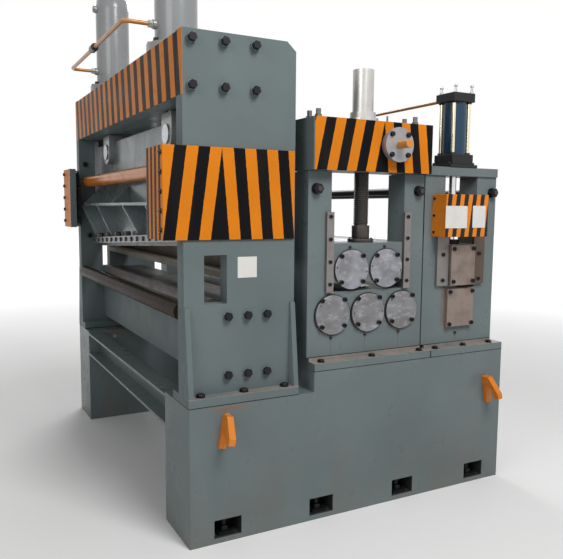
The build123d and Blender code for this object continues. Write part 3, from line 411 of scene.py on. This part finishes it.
def stand_paint():
    """Enamel with joint lines, oil runs under the grease nipples and dust on the feet."""
    seat_level, sole_level, foot_level = 0.8165, 0.7585, 0.8055
    joint_x, foot_joint_x, half_joint = 0.397, 0.424, 0.0038
    oil_runs = ((-0.180, 0.903), (0.028, 0.903), (0.243, 0.901), (0.643, 0.86))
    finish, tree, shader = new_finish("stand_paint", 0.0, 0.0, 0.2)
    x, y, z = spot_of(tree)
    out = size_of(tree, y)
    joint = line_at(tree, x, joint_x, half_joint)
    joint = times(tree, joint, above_level(tree, z, seat_level))
    foot_joint = line_at(tree, x, foot_joint_x, half_joint)
    foot_joint = times(tree, foot_joint, below_level(tree, z, 0.7965))
    seat = times(tree, line_at(tree, z, seat_level, 0.002), above_level(tree, out, 1.155))
    sole = times(tree, line_at(tree, z, sole_level, 0.0018), above_level(tree, out, 1.2))
    gaps = either(tree, joint, either(tree, foot_joint, either(tree, seat, sole)))
    runs = 0.0
    for middle, top in oil_runs:
        wander = times(tree, less(tree, mottle(tree, 9, 2), 0.5), 0.004)
        run = line_at(tree, sum_of(tree, x, wander), middle, 0.0013)
        runs = either(tree, runs, times(tree, run, below_level(tree, z, top)))
    plate = times(tree, above_level(tree, z, 0.818), above_level(tree, out, 1.1605))
    runs = times(tree, times(tree, runs, plate), 0.55)
    dust = spread(tree, mottle(tree, 9, 6), 0.3, 0.6, 0.25, 0.85)
    foot_top = times(tree, line_at(tree, z, foot_level, 0.0095), above_level(tree, out, 1.15))
    color = weathered(tree, GREY_GREEN, GRIME, 0.06)
    color = blend_colors(tree, times(tree, foot_top, dust), color, (0.29, 0.245, 0.21, 1))
    color = blend_colors(tree, runs, color, (0.05, 0.045, 0.035, 1))
    color = blend_colors(tree, gaps, color, JOINT_BLACK)
    sheet_gloss(tree, shader, color, 0.24, 0.38)
    return finish


guide_cover_paint = cover_paint()
screw_box_paint = face_stripes("screw_box_paint", box_pattern, on_box_face)
beam_paint = face_stripes("top_beam_paint", beam_pattern, on_exit_face)
shear_side_paint = face_stripes("shear_plate_paint", beam_pattern, beside_beam, 0.6575, 0.699)
stands_paint = stand_paint()
anchored_paint = sill_paint()
striped_guard = guard_paint()
lower_cover_steel = turned_steel("lower_cover_steel", 1.1765, (0.225, 0.228, 0.238))
upper_cover_steel = turned_steel("upper_cover_steel", 1.1785, (0.285, 0.292, 0.325))
square_cover_steel = metal(
    "square_cover_steel", (0.235, 0.185, 0.16, 1), 0.42, 0.4, (1, 1, 0.2),
    (0.1, 0.07, 0.055, 1), 0.8,
)
keeper_steel = metal("keeper_steel", (0.22, 0.205, 0.2, 1), 0.4, 0.6, (1, 1, 0.15), stains=0.45)
ground_steel = metal("ground_steel", (0.52, 0.52, 0.55, 1), 0.3, 1.0, (1, 0.1, 1), stains=0.15)
knife_steel = metal(
    "knife_steel", (0.19, 0.18, 0.17, 1), 0.38, 0.4, (1, 0.3, 1), (0.07, 0.055, 0.045, 1), 0.6,
    grit=40, specular=0.15, relief=0.0,
)
roll_steel = metal(
    "roll_steel", (0.36, 0.36, 0.37, 1), 0.27, 0.45, (1, 0.02, 1), specular=0.12, relief=0.02
)
black_steel = metal(
    "black_steel", (0.009, 0.0095, 0.011, 1), 0.34, 0.3, stain=(0.03, 0.024, 0.02, 1), stains=0.3,
    specular=0.3,
)
screw_steel = metal(
    "screw_steel", (0.05, 0.045, 0.04, 1), 0.33, 0.4, stain=(0.03, 0.025, 0.02, 1), stains=0.4
)
stud_steel = metal(
    "stud_steel", (0.17, 0.165, 0.16, 1), 0.35, 0.7, stain=(0.08, 0.06, 0.05, 1), stains=0.5
)
rod_gold = metal("rod_gold", (0.85, 0.77, 0.56, 1), 0.16, 1.0, stains=0.03)
# Exit roller: dark oiled steel whose near-black colour is partly painted shade
shaded_roller_steel = metal(
    "shaded_roller_steel", (0.032, 0.023, 0.015, 1), 0.3, 0.0, (1, 0.3, 1), (0.03, 0.022, 0.018, 1), 0.5,
    grit=5, specular=0.012, relief=0.0,
)
flange_steel = metal("flange_steel", (0.33, 0.33, 0.345, 1), 0.4, 0.5, stains=0.3)
bright_zinc = metal(
    "bright_zinc", (0.54, 0.525, 0.5, 1), 0.33, 0.8, (1, 1, 0.1), (0.3, 0.26, 0.2, 1), 0.3, grit=60
)
plate_metal = metal(
    "plate_metal", (0.66, 0.65, 0.62, 1), 0.38, 0.6, (0.1, 1, 1), (0.4, 0.38, 0.34, 1)
)


def shaft_finish():
    """Turned shaft whose near end is painted orange."""
    finish, tree, shader = new_finish("shaft_finish", 0.2, 0.1)
    stub_start = -1.2675
    stub = below_level(tree, spot_of(tree)[1], stub_start)
    color = blend_colors(tree, stub, (0.45, 0.44, 0.44, 1), (0.55, 0.22, 0.04, 1))
    gloss = spread(tree, mottle(tree, 30, 4), 0.3, 0.7, 0.28, 0.42)
    surface(tree, shader, color, gloss, mottle(tree, 150, 3), 0.1, 0.0003)
    return finish


def pinch_keeper_finish():
    """Ground keeper strips, of which the one on the entry side is browned by rust."""
    finish, tree, shader = new_finish("pinch_keeper_finish", 0.5)
    patches = spread(tree, mottle(tree, 11, 6, (1, 1, 0.3)), 0.4, 0.75, 0.0, 0.5)
    bright = blend_colors(tree, patches, (0.22, 0.205, 0.2, 1), (0.12, 0.09, 0.07, 1))
    brown = blend_colors(tree, patches, (0.085, 0.058, 0.046, 1), (0.15, 0.1, 0.075, 1))
    roll_middle = 0.66
    entry_side = above_level(tree, spot_of(tree)[0], roll_middle)
    color = blend_colors(tree, entry_side, bright, brown)
    surface(tree, shader, color, spread(tree, mottle(tree, 60, 3), 0.3, 0.7, 0.36, 0.52))
    return finish


def pipe_finish(name, half_fitting):
    """Brown-orange enamel on a pipe whose fitting in the middle is black."""
    finish, tree, shader = new_finish(name, 0.0, 0.1)
    fitting = below_level(tree, size_of(tree, spot_of(tree)[1]), half_fitting)
    color = weathered(tree, (0.5, 0.2, 0.035, 1), GRIME, 0.12)
    color = blend_colors(tree, fitting, color, (0.02, 0.02, 0.022, 1))
    surface(tree, shader, color, spread(tree, mottle(tree, 5, 4), 0.3, 0.7, 0.25, 0.4))
    return finish


def rod_finish():
    """Chromed rod on a black foot."""
    finish, tree, shader = new_finish("pinch_rod_finish", 0.9)
    foot_top = 1.3885
    foot = below_level(tree, spot_of(tree)[2], foot_top)
    color = blend_colors(tree, foot, (0.75, 0.75, 0.77, 1), (0.02, 0.018, 0.017, 1))
    surface(tree, shader, color, spread(tree, foot, 0.0, 1.0, 0.1, 0.4))
    return finish


finish_of_node = {
    "cross_members": machine_paint, "shear_bed": bed_paint(), "hold_down_beam": shaded_inner_paint,
    "near_carriage": machine_paint, "far_carriage": machine_paint,
    "lifting_hooks": hook_paint, "spreader_tube": tube_paint,
    "shear_oil_pipe": pipe_finish("shear_pipe_paint", 0.034),
    "pinch_oil_pipe": pipe_finish("pinch_pipe_paint", 0.0),
    "lower_roll_covers": lower_cover_steel, "upper_roll_covers": upper_cover_steel,
    "leveller_keepers": keeper_steel, "pinch_keepers": pinch_keeper_finish(),
    "lower_pinch_covers": square_cover_steel, "upper_pinch_covers": square_cover_steel,
    "upper_pinch_chocks": square_cover_steel, "lower_pinch_chocks": square_cover_steel,
    "shaft_flanges": flange_steel, "exit_bearings": ground_steel, "carrier_guides": ground_steel,
    "shear_rods": light_grey_paint, "rod_pins": ground_steel,
    "lower_knife": knife_steel, "upper_knife": knife_steel,
    "upper_leveller_roll_1": roll_steel, "upper_leveller_roll_2": roll_steel,
    "lower_leveller_roll_1": roll_steel, "lower_leveller_roll_2": roll_steel,
    "lower_leveller_roll_3": roll_steel,
    "upper_pinch_roll": roll_steel, "lower_pinch_roll": roll_steel,
    "exit_roller": shaded_roller_steel, "tie_bars": black_steel, "screw_covers": bright_zinc,
    "cross_shaft": shaft_finish(), "pinch_rods": rod_finish(),
}
for node_name, finish in finish_of_node.items():
    cad_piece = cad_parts[node_name]
    cad_piece.data.materials.clear()
    cad_piece.data.materials.append(finish)


# Making of pieces

def show(shape, name, finishes, body="frame", mirrored=False, smooth=False):
    """Turns a finished bmesh into a piece that rides on a body."""
    if mirrored:
        everything = shape.verts[:] + shape.edges[:] + shape.faces[:]
        bmesh.ops.mirror(shape, geom=everything, axis="Y", merge_dist=-1)
        bmesh.ops.recalc_face_normals(shape, faces=shape.faces[:])
    mesh = bpy.data.meshes.new(name)
    shape.to_mesh(mesh)
    shape.free()
    for finish in finishes:
        mesh.materials.append(finish)
    if smooth:
        mesh.shade_smooth()
        mesh.set_sharp_from_angle(angle=math.radians(20))
    piece = bpy.data.objects.new(name, mesh)
    bpy.context.scene.collection.objects.link(piece)
    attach(piece, body)
    return piece


def facing(direction):
    """Rotation that turns +Z to a direction."""
    return UPWARDS.rotation_difference(direction).to_matrix().to_4x4()


def around(radius, angle, axis, level=0.0):
    """Step from an axis to a point at a radius and an angle in degrees, up to a level."""
    return Matrix.Rotation(math.radians(angle), 3, axis) @ Vector((radius, 0, level))


def disc(shape, foot, out, radius, length, segments=24, top_radius=None, turn=0.0):
    """Cylinder, cone or prism that stands on its foot and points out, in metres."""
    spin = Matrix.Rotation(turn, 4, "Z")
    return bmesh.ops.create_cone(
        shape, cap_ends=True, segments=segments, radius1=radius,
        radius2=radius if top_radius is None else top_radius, depth=length,
        matrix=Matrix.Translation(foot + out * (length / 2)) @ facing(out) @ spin,
    )["verts"]


def faces_of(verts):
    """Faces that touch any of the given vertices."""
    return {face for vert in verts for face in vert.link_faces}


def block(shape, middle, size):
    """Square-edged block, in metres."""
    matrix = Matrix.Translation(middle) @ Matrix.Diagonal((*size, 1))
    return bmesh.ops.create_cube(shape, size=1.0, matrix=matrix)["verts"]


def bevel(shape, edges, width, segments=2):
    """Rounds off the given edges."""
    bmesh.ops.bevel(
        shape, geom=edges, offset=width, segments=segments, profile=0.5, affect="EDGES",
        material=-1, clamp_overlap=True,
    )


def soften(shape, verts, width, segments=2):
    """Bevels every edge between the given vertices."""
    chosen = set(verts)
    edges = [edge for edge in shape.edges if edge.verts[0] in chosen and edge.verts[1] in chosen]
    bevel(shape, edges, width, segments)


def hex_bolt(shape, foot, out, flats, head, washer=0.0):
    """Hexagon head, on a washer if its radius is given."""
    washer_height, angle = 0.0025, 0.3
    if washer:
        disc(shape, foot, out, washer, washer_height)
        foot = foot + out * washer_height
    radius = flats / math.sqrt(3)
    disc(shape, foot, out, radius, head * 0.8, 6, turn=angle)
    disc(shape, foot + out * head * 0.8, out, radius, head * 0.2, 6, radius * 0.86, angle)


def cap_screw(shape, foot, out, radius, head, segments=20):
    """Round head with a hollow for the key."""
    verts = disc(shape, foot, out, radius, head, segments)
    top = max(faces_of(verts), key=lambda face: face.calc_center_median().dot(out))
    bmesh.ops.inset_region(shape, faces=[top], thickness=radius * 0.12, depth=-head * 0.06)
    bmesh.ops.inset_region(shape, faces=[top], thickness=radius * 0.35)
    sunk = bmesh.ops.extrude_face_region(shape, geom=[top])["geom"]
    bmesh.ops.delete(shape, geom=[top], context="FACES_ONLY")
    floor_verts = [part for part in sunk if isinstance(part, bmesh.types.BMVert)]
    bmesh.ops.translate(shape, verts=floor_verts, vec=out * (-head * 0.6))


def stud(shape, foot, out, radius, nut, length):
    """Stud end that stands out of a washer and a hexagon nut, whose inner radius is nut."""
    washer_height = 0.003
    disc(shape, foot, out, nut * 1.15, washer_height)
    nut_foot = foot + out * washer_height
    disc(shape, nut_foot, out, nut / math.cos(math.pi / 6), nut * 0.85, 6, turn=0.4)
    disc(shape, foot, out, radius, length, 16)


def grease_nipple(shape, foot):
    """Nipple with a hexagon foot on a side face."""
    disc(shape, foot, SIDEWAYS, 0.008, 0.006, 6)
    disc(shape, foot + SIDEWAYS * 0.006, SIDEWAYS, 0.0045, 0.008, 12, 0.0035)


def dressed(node_name, finish, width, body="frame"):
    """Copy of a CAD node with softened edges, which stands for the node."""
    shape = bmesh.new()
    shape.from_mesh(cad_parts[node_name].data)
    bmesh.ops.remove_doubles(shape, verts=shape.verts[:], dist=1e-5)
    bmesh.ops.dissolve_limit(
        shape, angle_limit=math.radians(1.0), verts=shape.verts[:], edges=shape.edges[:],
        use_dissolve_boundaries=False,
    )
    sharp_angle = math.radians(30)
    sharp = [
        edge for edge in shape.edges
        if len(edge.link_faces) == 2 and edge.calc_face_angle(0.0) > sharp_angle
    ]
    bevel(shape, sharp, width)
    piece = show(shape, node_name + "_skin", [finish], body, smooth=True)
    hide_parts(node_name)
    return piece


for side in ("near", "far"):
    dressed(side + "_sill", anchored_paint, 0.005)
    dressed(side + "_shear_plate", shear_side_paint, 0.003)
    dressed(side + "_leveller_stand", stands_paint, 0.003)
    dressed(side + "_pinch_stand", stands_paint, 0.003)
    dressed(side + "_screw_box", screw_box_paint, 0.003)
    dressed(side + "_guide_cover", guide_cover_paint, 0.0015)
dressed("shear_top_beam", beam_paint, 0.003)
dressed("knife_carrier", carrier_paint, 0.002, body="knife_slide")
dressed("pinch_top_plates", machine_paint, 0.003)
dressed("pinch_guards", striped_guard, 0.0012)

# Bolts of the shear frame, on short painted spacers
shape = bmesh.new()
spacers = bmesh.new()
for spots, reach in (
    ([(x, z) for x in (41, 194, 345) for z in (2279, 2081)], 0.014),
    ([(x, z) for x in (211, 311, 411) for z in (1057, 782)], 0.006),
):
    for x, z in spots:
        foot = place(x, 55, z)
        soften(spacers, disc(spacers, foot, SIDEWAYS, 0.023, reach, 32), 0.0015)
        hex_bolt(shape, foot + SIDEWAYS * reach, SIDEWAYS, 0.036, 0.02)
for x, y in ((68, 30), (283, 30), (497, 30)):
    hex_bolt(shape, place(x, y, 700), UPWARDS, 0.036, 0.0125, 0.022)
show(shape, "shear_plate_bolts", [black_steel], mirrored=True)
show(
    spacers, "shear_bolt_spacers", [machine_paint], mirrored=True, smooth=True
)

# Screws on the exit edge of the guide covers
shape = bmesh.new()
for z in (1790, 1706, 1622, 1538, 1454):
    cap_screw(shape, place(-95, 69, z), TOWARDS_EXIT, 0.011, 0.009)
show(shape, "guide_cover_screws", [black_steel], mirrored=True)

# Link chain beside the far guide, and the two brackets that hold it
link_height = 26
shape = bmesh.new()
for step in range(10):
    middle = place(-18, 2250, 1446 + link_height * step)
    soften(shape, block(shape, middle, (0.026, 0.036, 0.019)), 0.003)
    soften(shape, block(shape, middle + UPWARDS * 0.013, (0.019, 0.03, 0.01)), 0.002)
for level in (1432, 1706):
    soften(shape, block(shape, place(-10, 2285, level), (0.014, 0.1, 0.014)), 0.002)
show(shape, "cable_chain", [satin_black])

# Bolts of the guide keepers inside and in front of the shear plates
shape = bmesh.new()
for x, z in ((43, 1866), (66, 1345)):
    hex_bolt(shape, place(x, 135, z), SIDEWAYS * -1, 0.03, 0.016, 0.018)
hex_bolt(shape, place(0, 88, 1795), TOWARDS_EXIT, 0.03, 0.016, 0.018)
show(shape, "guide_keeper_bolts", [black_steel], mirrored=True)

# Bolts of the covers, keepers, flanges and feet of both stands
shape = bmesh.new()
for x in LOWER_ROLLS:
    for across in (-66, 66):
        for up in (-57, 75):
            cap_screw(shape, place(x + across, 42, LOWER_AXIS + up), SIDEWAYS, 0.0115, 0.01)
for x in (755.5, 1232.5):
    for z in (1180, 1291.7, 1403.4, 1515.1):
        cap_screw(shape, place(x, 40, z), SIDEWAYS, 0.0095, 0.006)
for across in (-50, 50):
    for up in (-50, 50):
        hex_bolt(shape, place(1099 + across, -47, 1873 + up), SIDEWAYS, 0.022, 0.011, 0.0135)
for x in (703, 1011, 1321, 1434, 1636, 1831):
    hex_bolt(shape, place(x, 30, 797), UPWARDS, 0.03, 0.0105, 0.019)
for across in (-131, 131):
    for z in (1169, 1310, 1450):
        cap_screw(shape, place(PINCH_X + across, 40, z), SIDEWAYS, 0.0105, 0.007)
for across in (-81, 81):
    for up in (-90, 90):
        foot = place(PINCH_X + across, 32, LOWER_PINCH_AXIS + up)
        cap_screw(shape, foot, SIDEWAYS, 0.0115, 0.009)
show(shape, "stand_bolts", [black_steel], mirrored=True)

# Bolts of the covers that go up and down with the rolls
shape = bmesh.new()
for x in UPPER_ROLLS:
    for across in (-65, 65):
        for up in (-62, 68):
            cap_screw(shape, place(x + across, 40, UPPER_AXIS + up), SIDEWAYS, 0.0115, 0.01)
show(shape, "upper_cover_bolts", [black_steel], "screwdown", mirrored=True)

shape = bmesh.new()
for across in (-71, 71):
    for up in (-90, 90):
        foot = place(PINCH_X + across, 21, UPPER_PINCH_AXIS + up)
        cap_screw(shape, foot, SIDEWAYS, 0.0115, 0.009)
show(shape, "upper_square_cover_bolts", [black_steel], "pinch_slide", mirrored=True)

# Jacking holes in the round covers, two opposite each other in each
shape = bmesh.new()
for x, first_angle in zip(LOWER_ROLLS, (35, 0, 40)):
    for angle in (first_angle, first_angle + 180):
        foot = place(x, 42, LOWER_AXIS) + around(0.088, angle, "Y")
        disc(shape, foot, SIDEWAYS, 0.004, 0.0005, 12)
show(shape, "lower_cover_holes", [black_steel], mirrored=True)
shape = bmesh.new()
for x in UPPER_ROLLS:
    for angle in (8, 188):
        foot = place(x, 40, UPPER_AXIS) + around(0.09, angle, "Y")
        disc(shape, foot, SIDEWAYS, 0.004, 0.0005, 12)
show(shape, "upper_cover_holes", [black_steel], "screwdown", mirrored=True)

# Grease nipples
shape = bmesh.new()
for x, z in ((775, 908), (983, 908), (1198, 908), (1598, 868)):
    grease_nipple(shape, place(x, 58, z))
show(shape, "lower_grease_nipples", [screw_steel], mirrored=True)
shape = bmesh.new()
for x in (877, 1091):
    grease_nipple(shape, place(x, 52, 1363))
show(
    shape, "carriage_grease_nipples", [screw_steel], "screwdown", mirrored=True
)

# Ends of the tie bars in front of their nuts
shape = bmesh.new()
for x in (681, 1307, 1835):
    disc(shape, place(x, 29, 1650), SIDEWAYS, 0.0145, 0.009, 24, 0.012)
show(shape, "tie_bar_ends", [screw_steel], mirrored=True)

# Foundation bolts on square washers in the pockets of the sills
washer_height = 0.012
shape = bmesh.new()
for x in (190, 700, 1210, 1720):
    foot = place(x, 60, 24)
    block(shape, foot + UPWARDS * (washer_height / 2), (0.08, 0.08, washer_height))
    stud(shape, foot + UPWARDS * washer_height, UPWARDS, 0.015, 0.0235, 0.055)
show(shape, "foundation_bolts", [black_steel], mirrored=True)

# Studs and nuts on the screw boxes
box_top = BOX_TOP * 1000
shape = bmesh.new()
for x, y in ((689, 62), (691, 150), (1278, 62), (1278, 150)):
    stud(shape, place(x, y, box_top), UPWARDS, 0.0125, 0.0165, 0.044)
disc(shape, place(1098, 62, box_top), UPWARDS, 0.005, 0.036, 12)
show(shape, "screw_box_studs", [stud_steel], mirrored=True)

# Screws on the side of the guards
shape = bmesh.new()
for z in (1612, 1522, 1433):
    cap_screw(shape, place(1408, 40, z), TOWARDS_EXIT, 0.007, 0.004, 16)
show(shape, "guard_screws", [black_steel], mirrored=True)

# Blank plates
thickness = 0.0012
shape = bmesh.new()
for x, z, wide, high, y in (
    (311, 1281, 98, 97, 55), (1480, 1515, 150, 118, -52), (1640, 1517, 92, 118, -52),
):
    middle = place(x, y, z) + SIDEWAYS * (thickness / 2)
    verts = block(shape, middle, (wide / 1000, thickness, high / 1000))
    soften(shape, verts, 0.0004, 1)
show(shape, "blank_plates", [plate_metal])


def thread(shape, foot, radius, depth, pitch, turns):
    """Screw thread wound upwards from its foot."""
    steps, crest_start, crest_end = 28, 0.38, 0.62
    root = radius - depth
    profile = [
        shape.verts.new(foot + Vector((root, 0, 0))),
        shape.verts.new(foot + Vector((radius, 0, pitch * crest_start))),
        shape.verts.new(foot + Vector((radius, 0, pitch * crest_end))),
        shape.verts.new(foot + Vector((root, 0, pitch))),
    ]
    edges = [shape.edges.new(pair) for pair in zip(profile, profile[1:])]
    before = set(shape.verts) - set(profile)
    bmesh.ops.spin(
        shape, geom=profile + edges, cent=foot, axis=UPWARDS, dvec=Vector((0, 0, pitch / steps)),
        angle=math.tau * turns, steps=steps * turns, use_merge=False,
    )
    made = [vert for vert in shape.verts if vert not in before]
    bmesh.ops.remove_doubles(shape, verts=made, dist=1e-5)


# Adjusting screws with their threads, foot plates and collars
shape = bmesh.new()
screw_foot = place(STRAIGHTENER_X, 130, 1383)
plate_height, collar_height, core_start = 0.018, 0.068, 0.086
plate_top = screw_foot + UPWARDS * plate_height
soften(shape, disc(shape, screw_foot, UPWARDS, 0.067, plate_height, 48), 0.002)
soften(shape, disc(shape, plate_top, UPWARDS, 0.046, collar_height, 48), 0.002)
disc(shape, screw_foot + UPWARDS * core_start, UPWARDS, 0.0352, 0.683, 48)
thread(shape, screw_foot + UPWARDS * (core_start + 0.0005), 0.0385, 0.0035, 0.01, 66)
for angle in (45, 135, 225, 315):
    cap_screw(shape, plate_top + around(0.056, angle, "Z"), UPWARDS, 0.006, 0.006, 12)
screws = show(
    shape, "threaded_screws", [screw_steel], "screwdown", mirrored=True, smooth=True
)
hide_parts("adjusting_screws")


def axis_of(x, y, side):
    """Foot of a cylinder's axis, given for the near side."""
    axis = place(x, y, 0)
    if side == "far":
        axis.y = -axis.y
    return axis


def pinch_cylinder(side):
    """Cylinder with a blue tube and gilt tie rods between black blocks, bolts and bleed studs."""
    axis = axis_of(PINCH_X, 130, side)
    tube_level, tube_length = 1.855, 0.284
    flange_middle, base_middle, head_middle = 1.792, 1.828, 2.162
    flange_top, head_top = 1.8, 2.186
    rod_steps = [(across, along) for across in (-0.053, 0.053) for along in (-0.05, 0.05)]
    shape = bmesh.new()
    tube = disc(shape, axis + UPWARDS * tube_level, UPWARDS, 0.065, tube_length, 64)
    for face in faces_of(tube):
        face.material_index = 1
    for across, along in rod_steps:
        foot = axis + Vector((across, along, tube_level))
        rod = disc(shape, foot, UPWARDS, 0.01, tube_length, 20)
        for face in faces_of(rod):
            face.material_index = 2
    flange = block(shape, axis + UPWARDS * flange_middle, (0.195, 0.172, 0.016))
    soften(shape, flange, 0.0015)
    base = block(shape, axis + UPWARDS * base_middle, (0.15, 0.148, 0.056))
    soften(shape, base, 0.003)
    head = block(shape, axis + UPWARDS * head_middle, (0.15, 0.148, 0.048))
    soften(shape, head, 0.003)
    for across, along in rod_steps:
        disc(shape, axis + Vector((across, along, 2.131)), UPWARDS, 0.0155, 0.007, 6)
        disc(shape, axis + Vector((across, along, 1.856)), UPWARDS, 0.0155, 0.01, 6)
    for across in (-0.086, 0.086):
        for along in (-0.06, 0.06):
            foot = axis + Vector((across, along, flange_top))
            hex_bolt(shape, foot, UPWARDS, 0.018, 0.01, 0.0095)
    piece = show(
        shape, side + "_pinch_cylinder_body", [satin_black, deep_blue_paint, rod_gold],
        smooth=True,
    )
    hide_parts(side + "_pinch_cylinder")
    shape = bmesh.new()
    for across, along, high in ((-0.056, 0.05, 0.02), (0.0, 0.0, 0.034), (0.061, -0.06, 0.024)):
        foot = axis + Vector((across, along, head_top))
        disc(shape, foot, UPWARDS, 0.012, 0.009, 6)
        disc(shape, foot + UPWARDS * 0.009, UPWARDS, 0.007, high, 16)
        bmesh.ops.create_uvsphere(
            shape, u_segments=16, v_segments=10, radius=0.0105,
            matrix=Matrix.Translation(foot + UPWARDS * (high + 0.016)),
        )
    show(
        shape, side + "_cylinder_bleed_studs", [bright_zinc], smooth=True
    )


pinch_cylinder("near")
pinch_cylinder("far")


def shear_cylinder(side):
    """Welded cylinder with a bolted base flange, a weld bead, ports and a capped top."""
    axis = axis_of(155, 572, side)
    flange_top = 2.362
    shape = bmesh.new()
    soften(shape, disc(shape, axis + UPWARDS * FRAME_TOP, UPWARDS, 0.15, 0.044, 72), 0.003)
    disc(shape, axis + UPWARDS * 2.361, UPWARDS, 0.1175, 0.012, 72, 0.108)
    soften(shape, disc(shape, axis + UPWARDS * flange_top, UPWARDS, 0.1075, 0.498, 72), 0.002)
    top_cap = disc(shape, axis + UPWARDS * 2.858, UPWARDS, 0.1065, 0.062, 72, 0.0995)
    soften(shape, top_cap, 0.003)
    for level in (PIPE_LEVEL, PIPE_LEVEL + 0.4):
        disc(shape, axis + Vector((-0.1, 0, level)), TOWARDS_EXIT, 0.024, 0.0225)
        disc(shape, axis + Vector((-0.1225, 0, level)), TOWARDS_EXIT, 0.0185, 0.006, 6)
    piece = show(
        shape, side + "_shear_cylinder_body", [light_grey_paint], smooth=True
    )
    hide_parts(side + "_shear_cylinder")
    shape = bmesh.new()
    for step in range(8):
        foot = axis + around(0.131, 22.5 + 45 * step, "Z", flange_top)
        hex_bolt(shape, foot, UPWARDS, 0.024, 0.015, 0.0155)
    show(shape, side + "_cylinder_flange_bolts", [black_steel])


shear_cylinder("near")
shear_cylinder("far")


def knife_edge(y):
    """Height of the upper knife's edge at y, raked down towards the far side."""
    low, rake, half_length = 1.270, 0.106, 1.04
    return low + rake * (half_length - y) / (2 * half_length)


# Screws along the face of the nose bar, and the larger ones that stand on it between the ribs,
# of which the second would meet a rib
shape = bmesh.new()
for step in range(16):
    y = -0.884 + 0.125 * step
    hex_bolt(shape, Vector((-0.873, y, knife_edge(y) + 0.041)), TOWARDS_EXIT, 0.024, 0.0065, 0.015)
for step in (0, 2, 3, 4, 5, 6, 7):
    y = -0.824 + 0.25 * step
    hex_bolt(shape, Vector((-0.846, y, knife_edge(y) + 0.0625)), UPWARDS, 0.036, 0.026, 0.024)
show(shape, "knife_screws", [screw_steel], "knife_slide")

# Fittings of the oil pipe between the shear cylinders
shape = bmesh.new()
for y in (-0.648, 0.648):
    disc(shape, Vector((-0.9245, y, PIPE_LEVEL)), TOWARDS_EXIT, 0.019, 0.02, 6)
show(shape, "pipe_nuts", [bright_zinc])
shape = bmesh.new()
for y, out in ((-0.031, SIDEWAYS), (0.031, SIDEWAYS * -1)):
    disc(shape, Vector((-1.0695, y, PIPE_LEVEL)), out, 0.0205, 0.014, 6)
show(shape, "pipe_tee_nuts", [satin_black])


# Floor, world, lamps and camera

def looked_at(tree):
    """1 for rays from the camera, also by way of a mirror or through glass."""
    rays = add_node(tree, "ShaderNodeLightPath").outputs
    bounced = either(tree, rays["Is Glossy Ray"], rays["Is Transmission Ray"])
    return either(tree, rays["Is Camera Ray"], bounced)


# Distances over which the floor fades into the white of the background, and the strengths of
# that white where it gives light and where it is looked at
FADE_FROM, FADE_TO = 2.5, 8.0
LIGHT_STRENGTH, LOOK_STRENGTH = 0.28, 1.0

floor_shape = bmesh.new()
bmesh.ops.create_circle(floor_shape, cap_ends=True, segments=96, radius=40.0)
floor_mesh = bpy.data.meshes.new("floor")
floor_shape.to_mesh(floor_mesh)
floor_shape.free()
floor = bpy.data.objects.new("floor", floor_mesh)
bpy.context.scene.collection.objects.link(floor)
pale_floor, floor_tree, floor_shader = new_finish("pale_floor")
clouds = mottle(floor_tree, 0.8, 3)
floor_tone = blend_colors(floor_tree, clouds, (0.80, 0.80, 0.79, 1), (0.84, 0.84, 0.84, 1))
floor_spot = spot_of(floor_tree)
far_off = diagonal(floor_tree, floor_spot[0], floor_spot[1])
fading = spread(floor_tree, far_off, FADE_FROM, FADE_TO)
fading = times(floor_tree, fading, looked_at(floor_tree))
floor_tree.links.new(fading, floor_shader.inputs["Emission Strength"])
floor_shader.inputs["Emission Color"].default_value = (1, 1, 1, 1)
floor_tone = blend_colors(floor_tree, fading, floor_tone, (0, 0, 0, 1))
floor_gloss = spread(floor_tree, mottle(floor_tree, 3, 3), 0, 1, 0.6, 0.75)
surface(floor_tree, floor_shader, floor_tone, floor_gloss)
floor_mesh.materials.append(pale_floor)

world = bpy.data.worlds.new("studio")
bpy.context.scene.world = world
world.use_nodes = True
sky = world.node_tree
background = sky.nodes["Background"]
background.inputs["Color"].default_value = (1, 1, 1, 1)
strength = spread(sky, looked_at(sky), 0.0, 1.0, LIGHT_STRENGTH, LOOK_STRENGTH)
sky.links.new(strength, background.inputs["Strength"])


def lamp(name, spot, aim, size, power):
    """Large soft lamp that points at a spot on the machine."""
    light = bpy.data.lights.new(name, "AREA")
    light.shape = "DISK"
    light.size = size
    light.energy = power
    made = bpy.data.objects.new(name, light)
    made.location = spot
    made.rotation_euler = (Vector(aim) - Vector(spot)).to_track_quat("-Z", "Y").to_euler()
    bpy.context.scene.collection.objects.link(made)


lamp("key_lamp", (0.2, -4.9, 5.4), (0, -1.0, 2.1), 2.6, 270)
lamp("fill_lamp", (-5.0, -3.4, 4.0), (-0.5, -0.5, 1.6), 3.0, 62)
lamp("back_lamp", (1.0, 4.5, 5.5), (0, 0, 1.5), 3.0, 150)

# The camera stands where the photo was taken from, as its vanishing lines tell
camera_data = bpy.data.cameras.new("camera")
camera_data.lens = 42.07
camera_data.sensor_width = 36
camera = bpy.data.objects.new("camera", camera_data)
bpy.context.scene.collection.objects.link(camera)
yaw, pitch, roll = math.radians(28.0), math.radians(-6.108), math.radians(0.4487)
ahead = Vector((math.sin(yaw) * math.cos(pitch), math.cos(yaw) * math.cos(pitch), math.sin(pitch)))
level_right = Vector((math.cos(yaw), -math.sin(yaw), 0))
right = level_right * math.cos(roll) + level_right.cross(ahead) * math.sin(roll)
above = right.cross(ahead)
turned = Matrix((right, above, -ahead)).transposed().to_4x4()
eye = (-1.932, -3.9266, 1.550)
camera.matrix_world = Matrix.Translation(eye) @ turned
bpy.context.scene.camera = camera
bpy.context.scene.view_settings.view_transform = "Standard"
